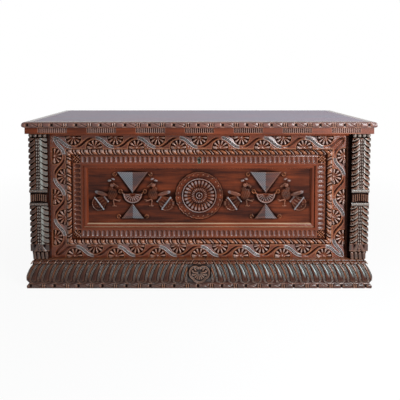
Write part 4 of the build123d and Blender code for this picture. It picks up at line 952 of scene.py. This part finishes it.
def lidEdgeRelief(along, share, side):
    # the same repeat as the base, cut deeper and left whole next to the two corners
    v = lidEdge
    form = bobbinForm(along, share)
    if side == "front":
        cutEnd = v["edge"][0] - v["plainEnd"]
        form = np.maximum(form, ramp(np.abs(along), cutEnd - v["endFade"], cutEnd))
    kept = ramp(share, 0.04, 0.14) * (1 - ramp(share, 0.68, 0.78))
    relief = np.minimum(-v["depth"] * (1 - form) * kept, 0)
    return relief, np.full_like(relief, v["dust"])


def makeMouldings():
    runs = {
        "gadroonTorus": (torus, torusRelief, gadroonWood),
        "baseMoulding": (base, bobbinRelief, plinthWood),
        "leafMoulding": (leafRun, leafRelief, plinthWood),
        "corniceFascia": (fascia, fasciaRelief, corniceWood),
        "lidEdge": (lidEdge, lidEdgeRelief, carvedWood),
    }
    for number, side in enumerate(("front", "left", "right")):
        for name, (values, reliefOf, wood) in runs.items():
            mouldedRun(name, side, values, reliefOf, wood, number)
    print("plinth, cornice and lid mouldings made")


post = {
    "inner": 651.0, "outer": 730.0, "front": -248.0, "back": -165.0, "bottom": 113.0, "top": 672.0,
    "rim": 696.5, "left": (656.0, 737.0), "right": (659.0, 739.0), "headOuter": 712.0,
    "lean": {"left": 4.0, "right": 6.0}, "rough": 0.3, "stemHalf": 9.0, "stemDepth": 5.5,
    "leafTop": 648.0, "leafFoot": 186.0, "footTop": 152.0,
    "lobePitch": 24.6, "lobeDrop": 19.0, "gapHalf": 3.8, "leafRise": 3.6, "leafSlope": 5.0, "tip": 4.0,
    "beadPitch": 13.3, "beadAt": 4.2, "topBeads": (659.5, 9.4), "curlAt": 8.5,
    # the block of reeds, its collars' middles, and the heights that the three take up
    "block": (368.0, 410.0), "collars": (417.5, 360.0), "band": (352.0, 425.0),
    "cheekShade": {"left": 0.45, "right": 1.0}, "curls": {"left": False, "right": True},
    # dust and painted light on the leaves left and right of the stem, painted highlights on their lower
    # rims, and dust on the other parts
    "leafDustAndLight": {"left": (0.0, 0.24), "right": (0.05, 0.04)},
    "rimHighlight": {"left": (0.1, 0.08), "right": (0.34, 0.45)},
    "glint": {"left": (15.0, 7.0, 0.48), "right": (15.0, 7.0, 0.0)},
    "beadDust": 0.4, "blockDust": 0.05, "collarDust": {"left": 0.2, "right": 0.3}, "footDust": 0.08,
    "wear": 0.5, "tintReach": 8, "seed": 120,
    # points up the post, across its face and round each cheek; then where the cheeks start, and
    # the deepest that the carved face goes
    "stations": 460, "points": 70, "cheeks": 6, "cheekBack": -217.0, "faceMost": -218.0,
    # grounds are depths behind the front plane
    "gapDepth": 9.0, "crown": 1.8, "curlGround": 9.5, "curlRing": (6.0, 2.5, 6.5), "curlEye": (0.0, 4.0, 4.0),
    "beadHeight": 4.3, "stemGroove": 3.0, "blockGround": 7.0, "reedPitch": 9.0, "reedHalf": 3.5,
    "reedHeight": 5.0, "collarGround": 9.0, "collar": (0.0, 6.6, 5.0, 0.25), "collarPitch": 7.0,
    "collarBead": (0.0, 3.4, 2.6), "topGround": 11.0, "topHalf": 9.0, "topHeight": (0.0, 1.0, 10.0),
    "sprayReach": (10, 26), "sprayGround": 8.0, "sprayLeaf": (8.0, 5.0), "sprayRib": (0.0, 4.0, 4.0),
    "knobAt": (4, 166), "knob": (0.0, 3.6, 2.5),
    "tongueGround": 17.5, "tonguePitch": 17.6, "tongueHalf": 7.8, "tongueHeight": 7.0, "tongueLow": 117,
}


def leafPlace(out, z):
    # lobes from the top down, each edge falling outwards along 1 - (1 - out)^2: the whole part
    # counts them, the rest says how far down its lobe a point is
    v = post
    lobe = (v["leafTop"] - z - v["lobeDrop"] * (1 - (1 - out) ** 2)) / v["lobePitch"]
    return lobe - np.floor(lobe)


def leafOut(fromStem, halfWidth):  # 0 beside the stem, 1 at the leaves' tips
    stem = post["stemHalf"]
    return np.clip((np.abs(fromStem) - stem) / (halfWidth - stem), 0, 1)


def fromCollar(z):
    return np.minimum(*[np.abs(z - middle) for middle in post["collars"]])


def leafDepth(fromStem, z, halfWidth, curls):
    # overlapping leaves: each rises down to its own edge and drops into a narrow gap, and the
    # whole row slopes back towards the tips; with curls, the left-hand tips end in small rings
    v = post
    out = leafOut(fromStem, halfWidth)
    share = leafPlace(out, z)
    gapHalf = v["gapHalf"] / v["lobePitch"] * (0.4 + 0.7 * ramp(out, 0.0, 0.5))
    gap = dome(np.minimum(share, 1 - share), gapHalf, 0.4)
    rise = v["leafRise"] * (0.1 + 0.9 * share)
    crown = v["crown"] * np.sin(pi * np.clip(out * 0.9 + 0.1, 0, 1))
    depth = 2.0 + v["leafRise"] + v["leafSlope"] * out ** 1.6 - rise - crown + v["gapDepth"] * gap
    ring = np.hypot(halfWidth - np.abs(fromStem) - v["curlAt"], (share - 0.5) * v["lobePitch"])
    curl = v["curlGround"] - ridge(ring, *v["curlRing"]) + ridge(ring, *v["curlEye"])
    return np.where((fromStem < 0) & (ring < v["curlRing"][0] + 2.6) & curls, curl, depth)


def stemBeads(fromStem, z):  # two columns of upright beads: 1 on a bead's top, 0 between them
    v = post
    across = (np.abs(fromStem) - v["beadAt"]) / 3.0
    return dome(np.hypot(across, repeat(z, v["beadPitch"]) / 5.6), 1.0) * (np.abs(fromStem) < v["stemHalf"])


def stemDepth(fromStem, z):
    # a sunk rib with two columns of beads, and a groove down each side
    v = post
    groove = v["stemGroove"] * ramp(np.abs(fromStem), 7.4, 8.8)
    return v["stemDepth"] - v["beadHeight"] * stemBeads(fromStem, z) + groove


def blockDepth(fromStem, z, halfWidth):
    # pointed reeds that get shorter towards the middle, between two beaded collars
    v = post
    low, high = v["block"]
    crown = 6.0 * np.abs(fromStem) / halfWidth
    reed = dome(repeat(fromStem - v["reedPitch"] / 2, v["reedPitch"]), v["reedHalf"], 0.7)
    inReed = (z > low + 9 - crown) & (z < high - 3 - crown)
    block = v["blockGround"] - v["reedHeight"] * reed * inReed + 1.5 * (np.abs(fromStem) < 3)
    fromBead = np.hypot(repeat(fromStem, v["collarPitch"]), fromCollar(z))
    collar = v["collarGround"] - ridge(fromCollar(z), *v["collar"]) - ridge(fromBead, *v["collarBead"])
    return np.where((z > low) & (z < high), block, collar)


def postFront(fromStem, z, halfWidth, curls):
    # fromStem is negative on the left-hand side; the result is the depth behind the front plane
    v = post
    side = np.abs(fromStem)
    depth = np.where(side < v["stemHalf"], stemDepth(fromStem, z), leafDepth(fromStem, z, halfWidth, curls))
    beadX = repeat(fromStem - halfWidth / 4, halfWidth / 2)
    beadAt, beadHalf = v["topBeads"]
    fromBead = np.hypot(beadX / v["topHalf"], (z - beadAt) / beadHalf)
    topBeads = v["topGround"] - ridge(fromBead, *v["topHeight"])
    depth = np.where(z > v["leafTop"], topBeads, depth)
    inBand = (z > v["band"][0]) & (z < v["band"][1])
    depth = np.where(inBand, blockDepth(fromStem, z, halfWidth), depth)
    # a spray of two leaves above the foot, then the foot's four tongues
    sprayShare = (z - v["footTop"]) / (v["leafFoot"] - v["footTop"])
    narrow, wider = v["sprayReach"]
    reach = narrow + wider * (1 - np.clip(sprayShare, 0, 1)) ** 1.5
    knobs = ridge(np.hypot(side - v["knobAt"][0], z - v["knobAt"][1]), *v["knob"])
    leaves = ridge(side, reach * 0.62, *v["sprayLeaf"])
    spray = v["sprayGround"] - leaves - ridge(side, *v["sprayRib"]) - knobs
    depth = np.where(z < v["leafFoot"], spray, depth)
    tongueX = repeat(fromStem - v["tonguePitch"] / 2 + (z - 132) * 0.08, v["tonguePitch"])
    tongueTop = np.clip((v["footTop"] - 1 - z) / 8.0, 0, 1)
    tongue = dome(tongueX, v["tongueHalf"], 0.5) * np.sqrt(tongueTop) * (z > v["tongueLow"])
    return np.where(z < v["footTop"], v["tongueGround"] - v["tongueHeight"] * tongue, depth)


def postDustAndLight(fromStem, z, halfWidth, side):
    # painted highlights on the leaves' lower rims and beside the stem, and one share of dust for each part
    v = post
    rim = ramp(leafPlace(leafOut(fromStem, halfWidth), z), 0.4, 0.9)
    onRight = ramp(fromStem, 4, 10)
    shares = [leaf + edge * rim for leaf, edge in zip(v["leafDustAndLight"][side], v["rimHighlight"][side])]
    dust = shares[0] * (1 - onRight) + shares[1] * onRight + ridge(fromStem, *v["glint"][side])
    dust = np.where(np.abs(fromStem) < v["stemHalf"], v["beadDust"] * stemBeads(fromStem, z), dust)
    dust = np.where((z > v["block"][0]) & (z < v["block"][1]), v["blockDust"], dust)
    dust = np.where((fromCollar(z) < 7.5) | (z > v["leafTop"]), v["collarDust"][side], dust)
    return np.where(z < v["leafFoot"], v["footDust"], dust)


def edgePull(z):
    # how far the outline is drawn in at each height: the leaves' tips are rounded, nothing at
    # their middles; the block, the beads and the foot stand back a little
    v = post
    low, high = v["block"]
    inBand = (z >= v["band"][0]) & (z <= v["band"][1])
    inBlock = (z > low) & (z < high)
    tips = v["tip"] * (1 - dome(leafPlace(1.0, z) - 0.55, 0.55, 0.6))
    beads = (2.0 + 3.0 * (1 - dome(z - v["topBeads"][0], 11.0))) * (z > v["leafTop"])
    blockPull = 4.0 * inBlock + 1.5 * (inBand & ~inBlock)
    foot = np.where(z < v["footTop"], 8.0 - 4.0 * ramp(z, 116, 150), 0)
    inLeaves = (z < v["leafTop"]) & (z > v["leafFoot"]) & ~inBand
    return np.where(inLeaves, tips, beads + blockPull + foot)


def makePost(side):
    v = post
    sign = 1 if side == "right" else -1
    zs = np.linspace(v["bottom"], v["top"], v["stations"])[:, None]
    pull = edgePull(zs)
    shift = -v["lean"][side] * (v["top"] - zs) / (v["top"] - v["bottom"])
    faceIn, faceOut = v[side]
    low = faceIn + pull + shift
    high = faceOut - pull + shift
    x = low + (high - low) * np.linspace(0, 1, v["points"])
    fromStem = (x - (faceIn + faceOut) / 2 - shift) * sign
    halfWidth = (faceOut - faceIn) / 2
    heights = np.broadcast_to(zs, x.shape)
    face = v["front"] + postFront(fromStem, heights, halfWidth, v["curls"][side])
    face = face + handCut(face.shape, v["seed"] + sign, v["rough"])
    face = np.minimum(face, v["faceMost"])
    tints = carvedTints(face, v["tintReach"])
    tints["wear"] = tints["wear"] * v["wear"]
    tints["dust"] = postDustAndLight(fromStem, heights, halfWidth, side) * (1 - tints["hollow"])

    # plain inner side, cheek, carved face, cheek, plain outer side
    def plain(*values):
        return np.broadcast_to(values, (len(zs), len(values)))

    cheeks, cheek = v["cheeks"], v["cheekBack"]
    share = np.linspace(0, 1, cheeks + 1)[:-1]
    columns = [
        (plain(v["inner"], v["inner"]), plain(v["back"], front["frameFace"])),
        (np.repeat(low, cheeks, axis=1), cheek + (face[:, :1] - cheek) * share),
        (x, face),
        (np.repeat(high, cheeks, axis=1), cheek + (face[:, -1:] - cheek) * share[::-1]),
        (plain(v["outer"] - 5, v["outer"] - 9), plain(front["frameFace"] + 1, v["back"])),
    ]
    px, py = [np.concatenate(parts, axis=1) for parts in zip(*columns)]
    rings = np.stack([px, py, np.broadcast_to(zs, px.shape)], axis=-1)
    # the plain head runs up behind the cornice: the same ring, drawn in, twice
    head = rings[-1].copy()
    head[:, 0] = np.clip(head[:, 0], v["inner"], v["headOuter"])
    head[:, 1] = np.maximum(head[:, 1], front["rimFace"])
    top = head.copy()
    top[:, 2] = v["rim"]
    rings = np.concatenate([rings, head[None], top[None]])
    rings[:, :, 0] *= sign
    beside = 2 + cheeks
    full = {key: np.pad(values, ((0, 2), (beside, beside))) for key, values in tints.items()}
    # painted shade on the plain inner side and the inner cheek
    full["hollow"][:, :beside] = v["cheekShade"][side]
    barPiece(f"cornerPost.{side}", rings, full, postWood)


makeWaveRails()
makeRopeAndFrieze()
makePanel()
makeMouldings()
for side in ("left", "right"):
    makePost(side)
print("corner posts made")


# finishes of the frame's own pieces
metal = {
    "iron": paint(66, 62, 60), "keyhole": paint(118, 124, 112), "rust": paint(58, 34, 22),
    "cloudStretch": (60.0, 60.0, 60.0), "rustStretch": (180.0, 180.0, 180.0), "pitDepth": 0.0004,
}


def metalMaterial(name, colour, roughness, metallic):  # clouds of rust over bare metal
    material, shader, place = newMaterial(name)
    cloud = noise(place, metal["cloudStretch"], 5.0)
    rust = noise(place, metal["rustStretch"], 3.0)
    share = ((cloud - 0.45) * 2.2).clamped()
    pits = {"Strength": 0.4, "Distance": metal["pitDepth"], "Height": rust}
    plugAll(shader, {
        "Base Color": mixed(share, colour, metal["rust"]),
        "Roughness": (roughness + (rust - 0.5) * 0.4).clamped(),
        "Metallic": (metallic - share * 0.5).clamped(),
        "Normal": place.node("ShaderNodeBump", "Normal", **pits),
    })
    return material


# plain walnut: what differs from the carved walnut, and the nodes that are made of it
plainWoods = {
    "lidWalnut": (
        {"grain": (1.6, 22.0, 22.0), "streaks": 2.2, "gloss": 0.2, "specular": 0.17, "haze": 0.29},
        ["lid_board_front", "lid_board_rear"]),
    "sideWalnut": (
        {"grain": (22.0, 2.0, 22.0), "darker": 0.08},
        ["lid_battens", "side_board_left", "side_board_right"]),
    "mouldingWalnut": (
        {"grain": (3.0, 34.0, 34.0), "darker": -0.3, "specular": 0.2},
        ["bed_moulding", "panel_moulding_top"]),
    # two painted highlight lines on the lower moulding
    "lowerMouldingWalnut": (
        {"grain": (3.0, 34.0, 34.0), "darker": -0.25, "specular": 0.2,
         "highlightLines": ((0.2592, 0.0018), (0.2462, 0.0016))},
        ["panel_moulding_bottom"]),
    "mouldingWalnutUpright": (
        {"grain": (34.0, 34.0, 3.0), "darker": -0.2, "specular": 0.2},
        ["panel_moulding_left", "panel_moulding_right"]),
    "bareWalnut": (
        {"grain": (2.4, 26.0, 26.0), "darker": -0.25, "gloss": 0.3},
        ["back_board_lower", "back_board_upper", "plinth_back", "floor_boards", "floor_bearers"]),
    "bareWalnutUpright": (
        {"grain": (26.0, 26.0, 2.4), "darker": -0.2, "gloss": 0.3},
        ["rear_post_left", "rear_post_right"]),
}
finishes = {"keyhole_escutcheon": metalMaterial("keyholeMetal", metal["keyhole"], 0.38, 0.85)}
for name, (values, nodeNames) in plainWoods.items():
    wood = walnutMaterial(name, carved=False, **values)
    finishes |= dict.fromkeys(nodeNames, wood)
iron = metalMaterial("iron", metal["iron"], 0.5, 0.9)
for nodeName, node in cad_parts.items():
    if not node.hide_render:
        node.data.materials.clear()
        node.data.materials.append(finishes.get(nodeName, iron))
print("frame pieces finished")


studio = {
    "floorSize": 14.0, "floorColour": (0.85, 0.85, 0.85, 1.0), "white": (1.0, 1.0, 1.0, 1.0),
    "fill": 0.04, "floorShade": 0.1, "shadeReach": 2.4,
    # place, target, width, height in metres, power in watts, colour
    "lamps": {
        "window": ((1.25, -1.6, 1.05), (0.1, -0.25, 0.38), 0.8, 1.3, 60.0, (0.92, 0.97, 1.0)),
        "room": ((-0.5, -1.4, 2.0), (-0.2, -0.25, 0.4), 0.7, 0.4, 8.0, (0.97, 0.98, 1.0)),
    },
}


def inScene(name, data):
    thing = bpy.data.objects.new(name, data)
    bpy.context.scene.collection.objects.link(thing)
    return thing


def whiteRays(tree):  # 1 for rays from the camera, mirrors and glass
    path = tree.nodes.new("ShaderNodeLightPath")
    rays = [Wire(tree, path.outputs[f"Is {kind} Ray"]) for kind in ("Camera", "Glossy", "Transmission")]
    return (rays[0] + rays[1] + rays[2]).clamped()


def makeFloor():
    half = studio["floorSize"] / 2
    mesh = bpy.data.meshes.new("floor")
    corners = [(-half, -half, 0), (half, -half, 0), (half, half, 0), (-half, half, 0)]
    mesh.from_pydata(corners, [], [(0, 1, 2, 3)])
    material, shader, place = newMaterial("paleFloor")
    place.tree.nodes.remove(shader)
    # white to the camera, with a share of the lit floor near the chest that keeps its shadow
    matt = place.node("ShaderNodeBsdfDiffuse", "BSDF", Color=studio["floorColour"])
    glow = place.node("ShaderNodeEmission", "Emission", Color=studio["white"], Strength=1.0)
    far = place.node("ShaderNodeVectorMath", "Value", {"operation": "LENGTH"}, Vector=place)
    shade = (1 - far * (1 / studio["shadeReach"])).clamped() * studio["floorShade"]
    cover(material, whiteRays(place.tree) * (1 - shade), matt, glow)
    mesh.materials.append(material)
    inScene("floor", mesh)


def makeWorld():
    world = bpy.data.worlds.new("studio")
    bpy.context.scene.world = world
    world.use_nodes = True
    seen = whiteRays(world.node_tree)
    strength = seen * (1 - studio["fill"]) + studio["fill"]
    plugAll(world.node_tree.nodes["Background"], {"Color": studio["white"], "Strength": strength})


def makeLamps():
    for name, (place, target, width, height, power, colour) in studio["lamps"].items():
        lamp = bpy.data.lights.new(name, "AREA")
        lamp.shape = "RECTANGLE"
        lamp.size, lamp.size_y = width, height
        lamp.energy, lamp.color = power, colour
        holder = inScene(name, lamp)
        holder.location = place
        aim = Vector(np.array(target) - np.array(place))
        holder.rotation_euler = aim.to_track_quat("-Z", "Y").to_euler()


view = {
    "place": (-0.0219, -1.882, 0.9178), "down": 2.2, "lens": 34.56, "sensor": 36.0,
    "shiftX": 0.0145, "shiftY": -0.275,
}


def makeCamera():
    lens = bpy.data.cameras.new("camera")
    lens.lens, lens.sensor_width = view["lens"], view["sensor"]
    lens.shift_x, lens.shift_y = view["shiftX"], view["shiftY"]
    camera = inScene("camera", lens)
    camera.location = view["place"]
    camera.rotation_euler = (radians(90 - view["down"]), 0, 0)
    bpy.context.scene.camera = camera
    bpy.context.scene.view_settings.view_transform = "Standard"


makeFloor()
makeWorld()
makeLamps()
makeCamera()
print("floor, light and camera made")
